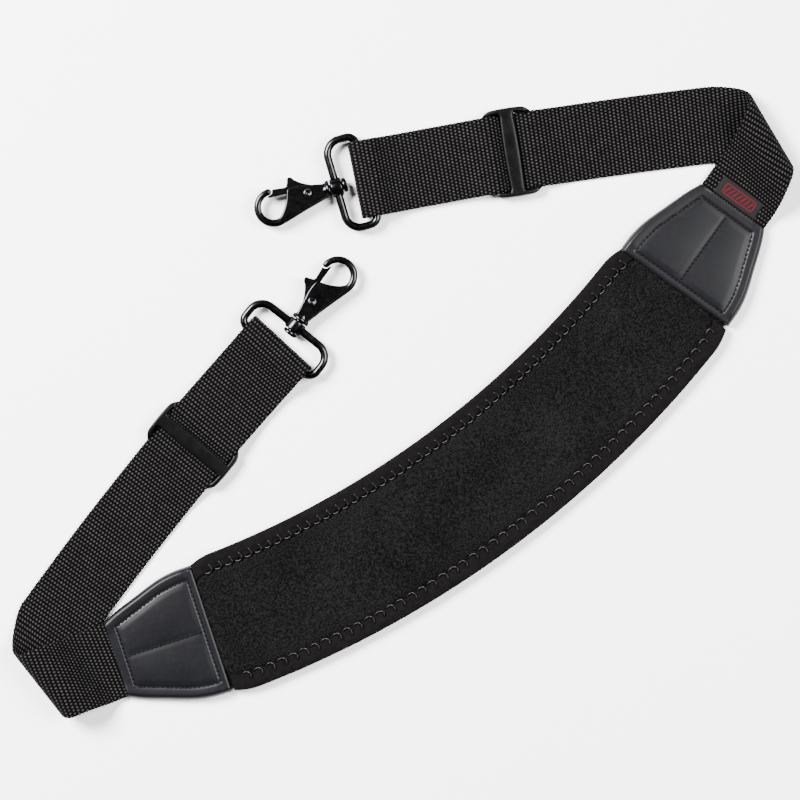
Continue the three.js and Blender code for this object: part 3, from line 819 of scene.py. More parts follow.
def through(rows: "list[tuple[float, ...]]", spacing: float, blunt: float) -> np.ndarray:
    """A closed outline through rows of places, evenly spaced and with its corners rounded.

    A row of two numbers is reached straight. A row of four is reached along a parabola that leans
    to the point that its last two numbers give. The corners are rounded by a weighted mean of each
    point's neighbours, where the weights are a bell curve of the distance.

    Args:
        rows: The places.
        spacing: The distance between the outline's points.
        blunt: The width of the bell curve.

    Returns:
        The outline's points.
    """
    line = [np.array([rows[0][:2]])]
    t = np.linspace(0, 1, 12)[1:, None]
    for row in [*rows[1:], rows[0][:2]]:
        start, end = line[-1][-1], np.array(row[:2])
        lean = np.array(row[2:]) if len(row) == 4 else (start + end) / 2
        line.append((1 - t) ** 2 * start + 2 * t * (1 - t) * lean + t**2 * end)
    path = np.concatenate(line)
    length = np.sum(np.linalg.norm(np.diff(path, axis=0), axis=1))
    line = resample(path, max(12, round(length / spacing)) + 1)[:-1]
    shifts = np.arange(-math.ceil(3 * blunt / spacing), math.ceil(3 * blunt / spacing) + 1)
    weights = np.exp(-0.5 * (shifts * spacing / blunt) ** 2)
    return sum(np.roll(line, k, axis=0) * w for k, w in zip(shifts, weights / weights.sum()))


def stitches(
    path: np.ndarray, ups: np.ndarray, pitch: float, length: float, radius: float
) -> "list[np.ndarray]":
    """Short threads along a path, each an arch that dips at both ends.

    A thread rises by a half sine of its length and thins towards its ends in the same way.

    Args:
        path: The line that they follow.
        ups: The surface's direction outwards at each of its points.
        pitch: The distance from one to the next.
        length: The length of each.
        radius: The radius of the thread.

    Returns:
        The rings of each thread.
    """
    steps = np.linalg.norm(np.diff(path, axis=0), axis=1)
    along = np.concatenate([[0], np.cumsum(steps)])
    count = max(1, int((along[-1] + pitch - length) / pitch))
    spare = along[-1] - (count - 1) * pitch - length
    t = np.linspace(0, 1, 7)
    arch = np.sin(math.pi * t)
    made = []
    for start in spare / 2 + pitch * np.arange(count):
        at = start + t * length
        line = np.stack([np.interp(at, along, path[:, k]) for k in range(3)], axis=1)
        up = unit(np.stack([np.interp(at, along, ups[:, k]) for k in range(3)], axis=1))
        line = line + up * (radius * 1.7 * arch - radius * 0.8)[:, None]
        thick = radius * (0.55 + 0.45 * arch)
        made.append(sweep(line, oval(6)[None] * thick[:, None, None], tuple(up[3])))
    return made


# The strap's parts


@dataclass(frozen=True)
class Seat:
    """A place and a heading that a fitting's own frame is put at."""

    x: float
    y: float
    z: float
    angle: float
    ahead: float = 0.0
    flipped: bool = False

    def put(self, points: np.ndarray) -> np.ndarray:
        """From the fitting's own frame to the strap's.

        Args:
            points: Points in the fitting's own frame.

        Returns:
            The same points in the strap's frame.
        """
        sign = -1 if self.flipped else 1
        x, y, z = points[..., 0] + self.ahead, points[..., 1] * sign, points[..., 2] * sign
        cos, sin = math.cos(self.angle), math.sin(self.angle)
        return join(self.x + x * cos - y * sin, self.y + x * sin + y * cos, self.z + z)


@dataclass(frozen=True)
class Pad:
    """The curved shoulder pad: an arc in the plane of the table, bound with tape on both edges."""

    radius: float = 500
    visible: float = 290
    width: float = 70.6
    thickness: float = 5.5
    narrowing: float = 2.8
    narrowing_length: float = 13
    tuck: float = 14
    end_thickness: float = 3.7
    end_half_width: float = 29.8
    rise_length: float = 22
    rest: float = 1.5
    tape_width: float = 8
    tape_thickness: float = 1
    gap: float = 0.3
    crown: float = 0.55
    stitch_pitch: float = 5.7
    thread: float = 0.55

    @property
    def mouth(self) -> float:
        """Distance from the pad's middle to a cap's mouth."""
        return self.visible / 2

    @property
    def seam(self) -> np.ndarray:
        """The point on its middle line, at the table, where a cap's mouth lies."""
        return self.point(np.array(self.mouth), np.array(0.0), np.array(0.0))

    def at(self, distance: np.ndarray) -> "tuple[np.ndarray, np.ndarray, np.ndarray]":
        """Height of the underside, thickness and half width at distances from the middle.

        Args:
            distance: Distances along the arc from the pad's middle.

        Returns:
            The height of the underside, the thickness and the half width.
        """
        inside = np.abs(distance) - self.mouth
        rise = smooth((inside + self.rise_length) / self.rise_length)
        pinch = np.clip(1 + inside / self.narrowing_length, 0, 1) ** 2
        half = self.width / 2 - self.narrowing * pinch
        most = self.end_half_width + self.tape_thickness
        half = np.where(inside > 0, np.minimum(half, most), half)
        thick = self.thickness + (self.end_thickness - self.thickness) * rise
        return self.rest * rise, thick, half

    def point(self, distance: np.ndarray, across: np.ndarray, up: np.ndarray) -> np.ndarray:
        """A point at a distance along the arc, across it towards its centre, and up."""
        angle, reach = distance / self.radius, self.radius - across
        return join(reach * np.sin(angle), self.radius - reach * np.cos(angle), up)

    def core(self) -> None:
        """The foam: a top that is crowned across and drawn down under the tapes, a flat underside.

        The top is the thickness plus a crown that falls with a power of the share across, less a
        step that eases in where a tape begins. Two slow sines keep it from lying dead flat, and
        top and underside close on each other at the rim.
        """
        end = self.mouth + self.tuck
        distance = np.linspace(-end, end, 321)[:, None]
        bottom, thick, half = self.at(distance)
        rim = half - self.tape_thickness - self.gap
        full = half - self.tape_width
        share = np.sin(np.linspace(-math.pi / 2, math.pi / 2, 71))[None]
        across = share * rim
        past = np.abs(across) - full
        step = self.tape_thickness + self.gap
        drawn = smooth((past + 2.2) / 2.4)
        long_wave = np.sin(distance / 23 + across / 11) * 0.09
        short_wave = np.sin(distance / 9.5 - across / 15) * 0.05
        crown = self.crown * (1 - np.clip(np.abs(across) / full, 0, 1) ** 2.6)
        free = 1 - smooth((np.abs(distance) - self.mouth + 12) / 10)
        top = bottom + thick + free * (crown + (long_wave + short_wave)) - drawn * step
        under = bottom + step * smooth((past + 0.8) / 1.2)
        middle = (top + under) / 2
        lift = np.clip((1 - np.abs(share)) / 0.02, 0, 1) ** 0.5
        upper = self.point(distance, across, middle + (top - middle) * lift)
        lower = self.point(distance, across, middle + (under - middle) * lift)
        rings = np.concatenate([upper, lower[:, -2:0:-1]], axis=1)
        flat = join(across, distance)
        pattern = np.concatenate([flat, flat[:, -2::-1]], axis=1)
        shell = Shell()
        shell.add(rings, pattern)
        piece = shell.piece("pad_neoprene", Finishes.NEOPRENE, "strap")
        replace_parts(piece, "pad")

    def binding(self, name: str, side: int, end: float) -> None:
        """One folded tape: a strip bent round the pad's edge, drawn in at each stitch.

        The strip's outer line goes out along the underside, round the edge and back in along the
        top. Its inner line lies nearly a thickness inside that, and both ends come to a ridge. A
        cosine in step with the stitches pinches the top and ripples its edge.

        Args:
            name: The CAD node that it stands for.
            side: One for the edge towards the arc's centre, and minus one for the other.
            end: How far it reaches from the pad's middle.
        """
        distance = np.linspace(-end, end, 521)[:, None]
        bottom, thick, half = self.at(distance)
        bend = 1.15
        turn = np.linspace(0, math.pi / 2, 7)[1:-1]
        reach = np.linspace(self.tape_width - 0.3, bend, 9)
        level = np.zeros(len(reach))
        corner_in, corner_up = bend * (1 - np.sin(turn)), bend * (1 - np.cos(turn))
        inward = np.concatenate([reach, corner_in, [0, 0], corner_in[::-1], reach[::-1]])
        low = np.concatenate([level, corner_up, [bend], np.zeros(1 + len(turn) + len(reach))])
        is_high = np.arange(len(inward)) > len(reach) + len(turn)
        inward, low, high, is_high = (row[None] for row in (inward, low, low[::-1], is_high))
        phase = (distance / self.stitch_pitch + (0.0 if side > 0 else 0.4)) * TURN
        free = smooth((end - np.abs(distance)) / 6)
        held = hump(inward, self.tape_width - 0.9, 2.6)
        pinched = held * (0.5 + 0.5 * np.cos(phase)) * 0.5
        bulge = hump(inward, 3.2, 3.2) * 0.24 * (1 + 0.6 * np.sin(distance / 6.1))
        ripple = 0.32 * np.sin(phase + 0.8) * free * smooth((inward - 4) / 4)
        above = bottom + thick - high + (bulge - pinched) * free
        up = np.where(is_high, above, bottom + low)
        across = half - inward + ripple * is_high
        line = join(across, up)
        heading = unit(np.gradient(line, axis=1))
        normal = join(-heading[..., 1], heading[..., 0])
        inner = line + normal * self.tape_thickness * 0.92
        tip = line + normal * self.tape_thickness * 0.46
        first = tip[:, :1] - heading[:, :1] * 0.3
        last = tip[:, -1:] + heading[:, -1:] * 0.3
        loop = np.concatenate([first, line, last, inner[:, ::-1]], axis=1)
        rings = self.point(distance, side * loop[..., 0], loop[..., 1])
        travel = np.concatenate([[0], np.arange(loop.shape[1])]) * 0.45
        pattern = join(travel[None], distance)
        shell = Shell()
        shell.add(rings, pattern)
        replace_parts(shell.piece(f"{name}_tape", Finishes.TAPE, "strap", 60), name)
        self.hooks(name, side, end)

    def hooks(self, name: str, side: int, end: float) -> None:
        """Overlock stitches: each runs along the tape's inner edge and then hooks over the tape.

        A thread is a curve through seven places, given by how far along the pad, how far over the
        tape from its inner edge and how high above it they lie. It dips into the cloth at both
        ends, and each leans a little at random.

        Args:
            name: The CAD node of the tape that they hold.
            side: Which edge they lie on.
            end: How far the tape reaches from the pad's middle.
        """
        hook = spline(np.array([
            [-0.9, -0.35, -0.45], [0.3, -0.85, 0.1], [1.7, -0.75, 0.2], [2.7, 0.1, 0.3],
            [2.75, 1.4, 0.35], [2.35, 2.7, 0.15], [2.1, 3.2, -0.45],
        ]), 4)
        count = int((2 * end - 6) / self.stitch_pitch)
        shell = Shell()
        rng = np.random.default_rng(7 if side > 0 else 8)
        for start in (np.arange(count) - (count - 1) / 2) * self.stitch_pitch:
            lean = rng.normal(0, 0.16, 3)
            distance = start + hook[:, 0] * (1 + lean[0] * 0.4) + lean[1]
            over = hook[:, 1] * (1 + lean[2] * 0.5)
            bottom, thick, half = self.at(distance)
            step = -self.tape_thickness * 0.35 * (1 - smooth((over + 0.9) / 1.1))
            across = half - self.tape_width + over
            up = bottom + thick + hook[:, 2] + step + 0.12
            line = self.point(distance, side * across, up)
            shell.add(sweep(line, oval(7) * self.thread))
        shell.piece(f"{name}_stitches", Finishes.TAPE_THREAD, "strap", 80)

    def build(self, cap_turn: float, cap_half_mouth: float) -> None:
        """Builds the foam and both tapes, which stop short of the turned mouths of the caps.

        Args:
            cap_turn: How many degrees each cap is turned from the arc.
            cap_half_mouth: Half the width of a cap's mouth.
        """
        self.core()
        end = self.mouth - self.gap - cap_half_mouth * math.sin(math.radians(cap_turn))
        self.binding("binding_inner", 1, end)
        self.binding("binding_outer", -1, end)


@dataclass(frozen=True)
class Cap:
    """A sewn end cap: a flat vinyl sleeve, broad at the pad and narrow at the webbing."""

    length: float = 49.4
    half_mouth: float = 33
    mouth_height: float = 7.6
    end_height: float = 5.6
    wall: float = 1.2
    side_wall: float = 1.5
    border: float = 6.5
    turn: float = 1.4
    slit: float = 5.5
    lip: float = 3.4
    end_border: float = 4.8
    ease: float = 3.6
    dip: float = 0.42
    dip_reach: float = 0.9
    edge_reach: float = 0.9
    roll_height: float = 0.4
    web_half: float = 19.55
    web_low: float = 1.45
    web_high: float = 3.75
    stitch_pitch: float = 2.3
    stitch_length: float = 1.75
    thread: float = 0.42

    def heading(self, pad: Pad) -> float:
        """The direction that it points in, in radians."""
        return pad.mouth / pad.radius + math.radians(self.turn)

    def half_width(self, along: np.ndarray) -> np.ndarray:
        """Half the width: a smooth line through the outline's table of shares.

        Args:
            along: Distance from the mouth.

        Returns:
            Half the width there.
        """
        places = [0, 0.16, 0.3, 0.43, 0.61, 0.86, 1]
        shares = [1, 0.998, 0.97, 0.918, 0.823, 0.69, 0.595]
        table = spline(np.stack([places, shares], axis=1), 8)
        return self.half_mouth * np.interp(along / self.length, table[:, 0], table[:, 1])

    def top(self, along: np.ndarray, across: np.ndarray) -> np.ndarray:
        """Height of the top over the table.

        It is most of a height that eases from the mouth's to the end's. Two panels swell a little
        on either side of a centre seam: a half sine across each, times one along it, both raised
        to a power that blunts them. The border outside them is a low roll, every stitched line
        lies in a narrow dip, and both ends of the sleeve are rounded off.

        Args:
            along: Distance from the mouth.
            across: Distance from the middle line.

        Returns:
            The height.
        """
        fall = (self.end_height - self.mouth_height) * smooth(along / self.length)
        half = self.half_width(along)
        off = half - np.abs(across)
        past = off - self.border
        near, far = along - self.lip, self.length - self.end_border - along
        inside = smooth(past / self.ease) * smooth(near / self.ease) * smooth(far / self.ease)
        seam = 1 - hump(np.abs(across), 0, 2.0)
        share = np.clip(np.abs(across) / np.maximum(half - self.border, 1), 0, 1)
        travelled = np.clip(near / (near + far), 0.02, 0.98)
        swell = np.sin(share * math.pi) ** 0.8 * np.sin(travelled * math.pi) ** 0.4
        roll = hump(off, self.border * 0.42, self.border * 0.8) * smooth((near + 1.5) / 4)
        rows = [
            hump(off, self.border, self.dip_reach) * smooth(near + 1) * smooth(far + 1),
            hump(near, 0, self.dip_reach) * smooth(past + 1),
            hump(far, 0, self.dip_reach) * smooth(past + 1),
        ]
        sewn = np.maximum.reduce(np.broadcast_arrays(*rows)) * self.dip
        mouth = smooth(along / self.edge_reach) * 0.35
        end = smooth((self.length - along) / self.edge_reach) * 0.25
        body = (self.mouth_height + fall) * 0.86 + roll * self.roll_height + (mouth + end - 0.6)
        return body - sewn + inside * (0.08 + seam * (0.12 + 0.5 * swell))

    def grid(self, inset: float, side_inset: float, count: int) -> np.ndarray:
        """One skin of the sleeve in the cap's own frame.

        Each ring goes over the top, round a side that is a quarter circle above and one below,
        back along the flat underside and round the other side. The inner skin is the same ring
        moved in by the wall, and it closes on the webbing where the slit begins.

        Args:
            inset: How far the top and the underside are moved in.
            side_inset: How far the sides are moved in.
            count: How many rings there are.

        Returns:
            The rings, as rows by columns by 3.
        """
        along = np.linspace(0, self.length, count)[:, None]
        half = self.half_width(along) - side_inset
        share = np.sin(np.linspace(-math.pi / 2, math.pi / 2, 91))[None]
        across = share * half
        past = np.abs(across) - half

        def rounded(reach: float) -> np.ndarray:
            """One inside a side and a quarter circle down to nought over its last stretch."""
            return np.sqrt(np.clip(1 - np.clip((past + reach) / reach, 0, 1) ** 2, 0, 1))

        top = self.top(along, across) - inset
        middle = inset + self.mouth_height * 0.33
        over = np.where(top > middle, middle + (top - middle) * rounded(2.6), top)
        under = middle - (middle - inset) * rounded(1.2)
        if inset > 0:
            closing = smooth((along - self.length + self.slit + 3) / 3)
            across = across + (share * self.web_half - across) * closing
            under = under + (self.web_low - under) * closing
            over = np.maximum(over + (self.web_high - over) * closing, under + 0.2)
        upper, lower = join(along, across, over), join(along, across, under)
        return np.concatenate([upper, lower[:, -2:0:-1]], axis=1)

    def seams(self) -> "list[tuple[np.ndarray, np.ndarray]]":
        """The sewn lines in the cap's own frame: both borders, the end, the lip and the seam.

        Returns:
            Each seam's points, and the direction outwards at each.
        """

        def lay(along: np.ndarray, across: np.ndarray) -> "tuple[np.ndarray, np.ndarray]":
            """Lays a line on the top and gives the direction outwards along it.

            Args:
                along: Distances from the mouth.
                across: Distances from the middle line.

            Returns:
                The points on the top, and the direction outwards at each.
            """
            step = 0.2
            height = self.top(along, across)
            slope_x = (self.top(along + step, across) - height) / step
            slope_y = (self.top(along, across + step) - height) / step
            return join(along, across, height), unit(join(-slope_x, -slope_y, 1.0))

        last = self.length - self.end_border
        along = np.linspace(self.lip + 1, last - 1, 60)
        lines = [lay(along, side * (self.half_width(along) - self.border)) for side in (-1, 1)]
        for at, count in ((last, 40), (self.lip, 60)):
            reach = self.half_width(np.array(at)) - self.border
            lines.append(lay(np.full(count, at), np.linspace(-reach, reach, count)))
        lines.append(lay(np.linspace(self.lip + 1, last - 1, 50), np.zeros(50)))
        return lines

    def build(self, side: str, mirror: float, pad: Pad) -> None:
        """Builds the sleeve and its stitches.

        Args:
            side: The side's name.
            mirror: One for the right and minus one for the left.
            pad: The pad that it closes.
        """
        seat = Seat(float(pad.seam[0]), float(pad.seam[1]), 0.0, self.heading(pad))

        def put(points: np.ndarray) -> np.ndarray:
            """From the cap's own frame to the strap's, mirrored for the left."""
            return seat.put(points) * [mirror, 1, 1]

        outer = self.grid(0, 0, 121)
        inner = self.grid(self.wall, self.side_wall, 61)[::-1]
        shell = Shell()
        shell.add(put(np.concatenate([outer, inner])), loop=True)
        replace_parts(shell.piece(f"cap_{side}_vinyl", Finishes.VINYL, "strap", 50), f"cap_{side}")
        threads = Shell()
        for line, ups in self.seams():
            for rings in stitches(line, ups, self.stitch_pitch, self.stitch_length, self.thread):
                threads.add(put(rings))
        threads.piece(f"cap_{side}_stitches", Finishes.CAP_THREAD, "strap", 80)


@dataclass(frozen=True)
class Arm:
    """One webbing arm, in the same terms as the solid's source."""

    side: str
    mirror: float
    leave: float
    fold_axis: float
    ramp: float
    drift: float
    drift_from: float
    bend: float
    slider_at: float
    ring_at: float
    ring_turn: float
    flipped: bool
    width: float = 38.5
    thickness: float = 1.7
    tuck: float = 14
    cap_rest: float = 1.75
    level: float = 8
    ease: float = 10
    step: float = 0.25
    gap: float = 0.3
    hinge: float = 5.9
    dot: float = DOT_PITCH
    row: float = ROW_PITCH
    relief: float = 0.16
    columns: int = 68

    @cached_property
    def start(self) -> np.ndarray:
        """Where the webbing leaves its cap.

        Returns:
            The place in the plane of the table.
        """
        pad, cap = Pad(), Cap()
        angle = cap.heading(pad)
        return pad.seam[:2] + cap.length * np.array([math.cos(angle), math.sin(angle)])

    @cached_property
    def leaving(self) -> float:
        """The heading as it leaves, in radians."""
        pad = Pad()
        return pad.mouth / pad.radius + math.radians(Cap().turn + self.leave)

    @cached_property
    def profile(self) -> "tuple[np.ndarray, float, float]":
        """The fold's side view: rows of travel, reach and height, the turn's start and its length.

        The heading is level, eases up to the ramp and then turns right over, and the rows add up
        its cosine and sine. The turn is as long as brings the webbing back down on the table.

        Returns:
            The rows, the travel where the turn begins, and its length.
        """
        climb = math.radians(self.ramp)
        turn = math.pi + climb
        begin = self.level + self.ease
        rows = [(0.0, 0.0, self.cap_rest + self.thickness / 2)]

        def walk(angle: float) -> None:
            """Adds a row one step further on at an angle.

            Args:
                angle: How steeply the step climbs, in radians.
            """
            travel, reach, height = rows[-1]
            ahead, rise = math.cos(angle) * self.step, math.sin(angle) * self.step
            rows.append((travel + self.step, reach + ahead, height + rise))

        while rows[-1][0] < begin:
            walk(climb * float(gentle((rows[-1][0] - self.level) / self.ease)))
        shares = (np.arange(400) + 0.5) / 400
        fall = float(-np.mean(np.sin(climb - turn * gentle(shares))))
        length = (rows[-1][2] - self.thickness / 2) / fall
        while rows[-1][0] < begin + length:
            walk(climb - turn * float(gentle((rows[-1][0] + self.step / 2 - begin) / length)))
        return np.array(rows), begin, length

    @cached_property
    def straight(self) -> float:
        """How far the webbing runs before it begins to bend sideways.

        Returns:
            The distance from the cap.
        """
        _, begin, length = self.profile
        axis = math.radians(self.fold_axis)
        square = np.array([math.sin(axis), -math.cos(axis)])
        heading = np.array([math.cos(self.leaving), math.sin(self.leaving)])
        return (begin + length + self.width / 2) / float(heading @ square)

    def place(self, distance: np.ndarray, across: np.ndarray, lift: np.ndarray) -> np.ndarray:
        """Points of the folded webbing's middle surface.

        The unfolded middle line is straight and then an arc. A point beside it is split into its
        travel square to the fold's axis and its place along the axis. The travel is read off the
        fold's side view, and the place drifts a little as the webbing turns over.

        Args:
            distance: Distance along the arm from the cap.
            across: Distance from the middle line.
            lift: Height above the folded surface.

        Returns:
            The points in the strap's frame.
        """
        rows, begin, length = self.profile
        axis = math.radians(self.fold_axis)
        past = np.maximum(distance - self.straight, 0)
        turned = -(math.radians(self.bend) / self.ring_at) * past
        half = np.where(np.abs(turned) < 1e-9, 1e-9, turned / 2)
        chord = past * np.sin(half) / half
        x = math.cos(self.leaving) * (distance - past) + np.cos(self.leaving + half) * chord
        y = math.sin(self.leaving) * (distance - past) + np.sin(self.leaving + half) * chord
        x = x - np.sin(self.leaving + turned) * across
        y = y + np.cos(self.leaving + turned) * across
        travel = x * math.sin(axis) - y * math.cos(axis)
        share = (travel - begin) / length
        drifted = smooth((share - self.drift_from) / (1 - self.drift_from))
        sideways = x * math.cos(axis) + y * math.sin(axis) + self.drift * drifted
        reach = np.interp(travel, rows[:, 0], rows[:, 1])
        height = np.interp(travel, rows[:, 0], rows[:, 2])
        reach = np.where(travel >= rows[-1, 0], rows[-1, 1] - (travel - rows[-1, 0]), reach)
        reach = np.where(travel < 0, travel, reach)
        height = np.where(travel >= rows[-1, 0], self.thickness / 2, height)
        x = self.start[0] + reach * math.sin(axis) + sideways * math.cos(axis)
        y = self.start[1] - reach * math.cos(axis) + sideways * math.sin(axis)
        return join(self.mirror * x, y, height + lift)

    def route(self) -> np.ndarray:
        """Distances along the arm and heights of the webbing's middle, past the fold.

        It goes over, under and over the slider's bars, round the ring's bar and back beneath.

        Returns:
            Rows of distance and height, close together.
        """
        slider, ring = Slider(), Ring()
        low = self.thickness / 2
        second = low + self.thickness + self.gap
        over = slider.lift + slider.bar + self.gap + low
        both = over + self.thickness + self.gap
        outer = slider.length / 2 + self.gap
        inner = slider.length / 2 - slider.end_bar - self.gap
        under = slider.centre_bar / 2 + slider.bow + self.gap
        at = self.straight + self.slider_at
        end = self.straight + self.ring_at
        loop = ring.wire / 2 + 0.45 + low
        centre, bar = end - loop - low, end - self.hinge
        angle = math.pi / 2 - math.pi * np.arange(7) / 6
        turn = join(centre + loop * np.cos(angle), ring.height + loop * np.sin(angle))
        out = [
            [at - 2 * outer, low], [at - 1.5 * outer, low + 0.4 * (over - low)],
            [at - outer, over], [at - inner, over], [at - under, second], [at + under, second],
            [at + inner, both], [at + outer, both],
            [at + 1.6 * outer, second + 0.4 * (both - second)], [at + 2.3 * outer, second],
            [centre - 24, second], [centre - 14, second + 1.6],
            [bar - 4.8, ring.height + loop], [bar, ring.height + loop],
        ]
        back = [
            [bar - 4.8, ring.height - loop], [centre - 14, low], [centre - 24, low],
            [at + 2.3 * outer, low], [at + 1.6 * outer, low + 0.4 * (over - low)],
            [at + outer, over], [at + inner, over], [at + under, low], [at - 5, low],
        ]
        return spline(np.concatenate([out, turn, back]), 30)

    def texture(self, across: np.ndarray, along: np.ndarray) -> np.ndarray:
        """The weave's height from 0 to 1.

        It is a cosine of each row times a cosine along it, and every second row is shifted by half
        a dot.

        Args:
            across: Distances from the middle line.
            along: Distances along the webbing.

        Returns:
            The height.
        """
        row = np.floor(along / self.row + 0.5)
        ridge = np.cos(TURN * along / self.row) * 0.5 + 0.5
        dots = np.cos(TURN * (across / self.dot + row * 0.5)) * 0.5 + 0.5
        return ridge**0.6 * (0.35 + 0.65 * dots)

    def build(self) -> None:
        """Builds the webbing, woven dots and all, as one closed ribbon."""
        step = self.row / 4
        route = self.route()
        steps = np.hypot(*np.diff(route, axis=0).T)
        travelled = np.concatenate([[0], np.cumsum(steps)])
        lead = np.arange(-self.tuck, route[0, 0], step)
        fine = np.arange(0, travelled[-1], step)
        distance = np.concatenate([lead, np.interp(fine, travelled, route[:, 0])])
        lift = np.concatenate([
            np.zeros_like(lead), np.interp(fine, travelled, route[:, 1]) - self.thickness / 2])
        along = np.concatenate([lead, route[0, 0] + fine])
        share = np.linspace(-1, 1, self.columns + 1)
        rows = np.cos(TURN * along / self.row)[:, None]
        serrated = self.relief * rows * np.abs(share) ** 12 * np.sign(share)
        across = share[None] * (self.width / 2 - 0.15) + serrated
        middle = self.place(distance[:, None], across, lift[:, None])
        normal = unit(np.cross(np.gradient(middle, axis=0), np.gradient(middle, axis=1)))
        rounded = np.sqrt(1 - np.clip((np.abs(share) - 0.965) / 0.035, 0, 0.94) ** 2)[None]
        thick = self.thickness / 2 - self.relief * 0.75
        free = smooth((distance + 1.0) / 2.0)[:, None]
        front = thick + self.relief * self.texture(across, along[:, None]) * free
        behind = thick + self.relief * self.texture(across + self.dot / 2, along[:, None]) * free
        upper = middle + normal * (front * rounded)[..., None]
        lower = middle - normal * (behind * rounded)[..., None]
        rings = np.concatenate([upper, lower[:, ::-1]], axis=1)
        flat = join(across, along[:, None])
        shifted = flat + np.array([self.dot / 2, 0])
        pattern = np.concatenate([flat, shifted[:, ::-1], flat[:, :1]], axis=1)
        shell = Shell()
        shell.add(rings, pattern)
        name = f"webbing_{self.side}"
        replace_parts(shell.piece(f"{name}_weave", Finishes.WEBBING, "strap", 75), name)

    def seat(self, distance: float, height: float, turn: float = 0.0) -> Seat:
        """A place on the arm's middle line that heads along it, or turned a little from it.

        Args:
            distance: The distance along the arm.
            height: The height over the table.
            turn: How many degrees it is turned from the arm.

        Returns:
            The seat.
        """
        here = self.place(np.array(distance), np.array(0.0), np.array(0.0))
        ahead = self.place(np.array(distance + 1), np.array(0.0), np.array(0.0)) - here
        angle = math.atan2(ahead[1], ahead[0]) + math.radians(turn)
        return Seat(float(here[0]), float(here[1]), height, angle)


@dataclass(frozen=True)
class Label:
    """A small woven tag sewn on the webbing beside the right cap."""

    width: float = 24.5
    length: float = 9.6
    offset: float = 0.9
    seat: float = 1.0
    thickness: float = 0.62

    def build(self, arm: Arm) -> None:
        """Builds the tag as a thin closed patch that follows the webbing, its edges rounded.

        Args:
            arm: The arm that it is sewn on.
        """
        share, side = np.meshgrid(np.linspace(-1, 1, 49), np.linspace(-1, 1, 25))
        across = share * self.width / 2
        along = self.offset + self.length / 2 * (1 + side)
        middle = arm.place(along, across, np.zeros_like(along))
        normal = unit(np.cross(np.gradient(middle, axis=0), np.gradient(middle, axis=1)))
        edge = np.maximum(np.abs(share), np.abs(side))
        puff = np.sqrt(np.clip(1 - np.clip((edge - 0.86) / 0.14, 0, 1) ** 2, 0.02, 1))
        wave = 0.06 * np.sin(across * 1.1) * np.cos(side * 3)
        upper = middle + normal * (self.seat + self.thickness * puff + wave)[..., None]
        lower = middle + normal * (self.seat - 0.12)
        rings = np.concatenate([upper, lower[:, ::-1]], axis=1)
        flat = join(across, along - self.offset - self.length / 2)
        pattern = np.concatenate([flat, flat[:, ::-1], flat[:, :1]], axis=1)
        shell = Shell()
        shell.add(rings, pattern)
        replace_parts(shell.piece("label_tag_weave", Finishes.LABEL, "strap", 50), "label_tag")


@dataclass(frozen=True)
class Slider:
    """A moulded slider: two tall side rails, two low end bars and a high centre bar."""

    length: float = 27
    width: float = 44.4
    rail: float = 2.45
    rail_height: float = 6.3
    bar: float = 2
    end_bar: float = 4
    centre_bar: float = 6.3
    bow: float = 0.7
    rail_bow: float = 0.8
    lift: float = 0.2
    corner: float = 4.0
    centre_low: float = 4.0

    def rim(self) -> np.ndarray:
        """The frame: a rounded section carried round a rounded rectangle.

        The section is tall and narrow along the sides and low and broad along the ends, and eases
        from one to the other round the corners.

        Returns:
            The rings, as rows by columns by 3.
        """
        half_x = self.length / 2 - self.end_bar / 2
        half_y = self.width / 2 - self.rail / 2 - self.rail_bow
        corner = self.corner
        angle = np.linspace(0, math.pi / 2, 12)
        path = []
        for start, sign_x, sign_y in ((0, 1, 1), (1, -1, 1), (2, -1, -1), (3, 1, -1)):
            turn = angle + start * math.pi / 2
            path.append(join(
                sign_x * (half_x - corner) + corner * np.cos(turn),
                sign_y * (half_y - corner) + corner * np.sin(turn)))
        line = resample(np.concatenate([*path, path[0][:1]]), 201)[:-1]
        bulge = np.clip(1 - (line[:, 0] / half_x) ** 2, 0, 1)
        beside = smooth((np.abs(line[:, 1]) - half_y + 1.5) / 1.5)
        line[:, 1] += np.sign(line[:, 1]) * (self.rail_bow * bulge) * beside
        tall = smooth((np.abs(line[:, 1]) - half_y + corner * 0.9) / (corner * 0.8))
        tall = tall * (0.72 + 0.28 * bulge)
        wide = self.end_bar + (self.rail - self.end_bar) * tall
        high = self.bar + (self.rail_height - self.lift - self.bar) * tall
        section = oval(28, 4.5)[None] * join(wide / 2, high / 2)[:, None]
        flat = join(line[:, 0], line[:, 1], 0.0)
        raise_by = join(0.0, 0.0, self.lift + high / 2)
        return sweep(flat, section, closed=True) + raise_by[:, None]

    def centre(self) -> np.ndarray:
        """The centre bar: a rounded section, broader in its middle and flared at its ends.

        Returns:
            The rings, as rows by columns by 3.
        """
        reach = self.width / 2 - self.rail * 0.6
        y = np.linspace(-reach, reach, 61)
        share = np.abs(y / reach)
        wide = self.centre_bar + 2 * self.bow * (1 - share**2) + 2.2 * smooth((share - 0.86) / 0.14)
        high = np.full_like(y, self.rail_height - self.centre_low)
        section = oval(28, 3.6)[None] * join(wide / 2, high / 2)[:, None]
        path = join(0.0, y, self.centre_low + high / 2)
        return sweep(path, section)

    def build(self, side: str, seat: Seat) -> None:
        """Builds the slider on its arm.

        Args:
            side: The arm's side.
            seat: Where it sits.
        """
        shell = Shell()
        shell.add(seat.put(self.rim()), loop=True)
        shell.add(seat.put(self.centre()))
        piece = shell.piece(f"slider_{side}_moulding", Finishes.PLASTIC, "strap", 50)
        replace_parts(piece, f"slider_{side}")


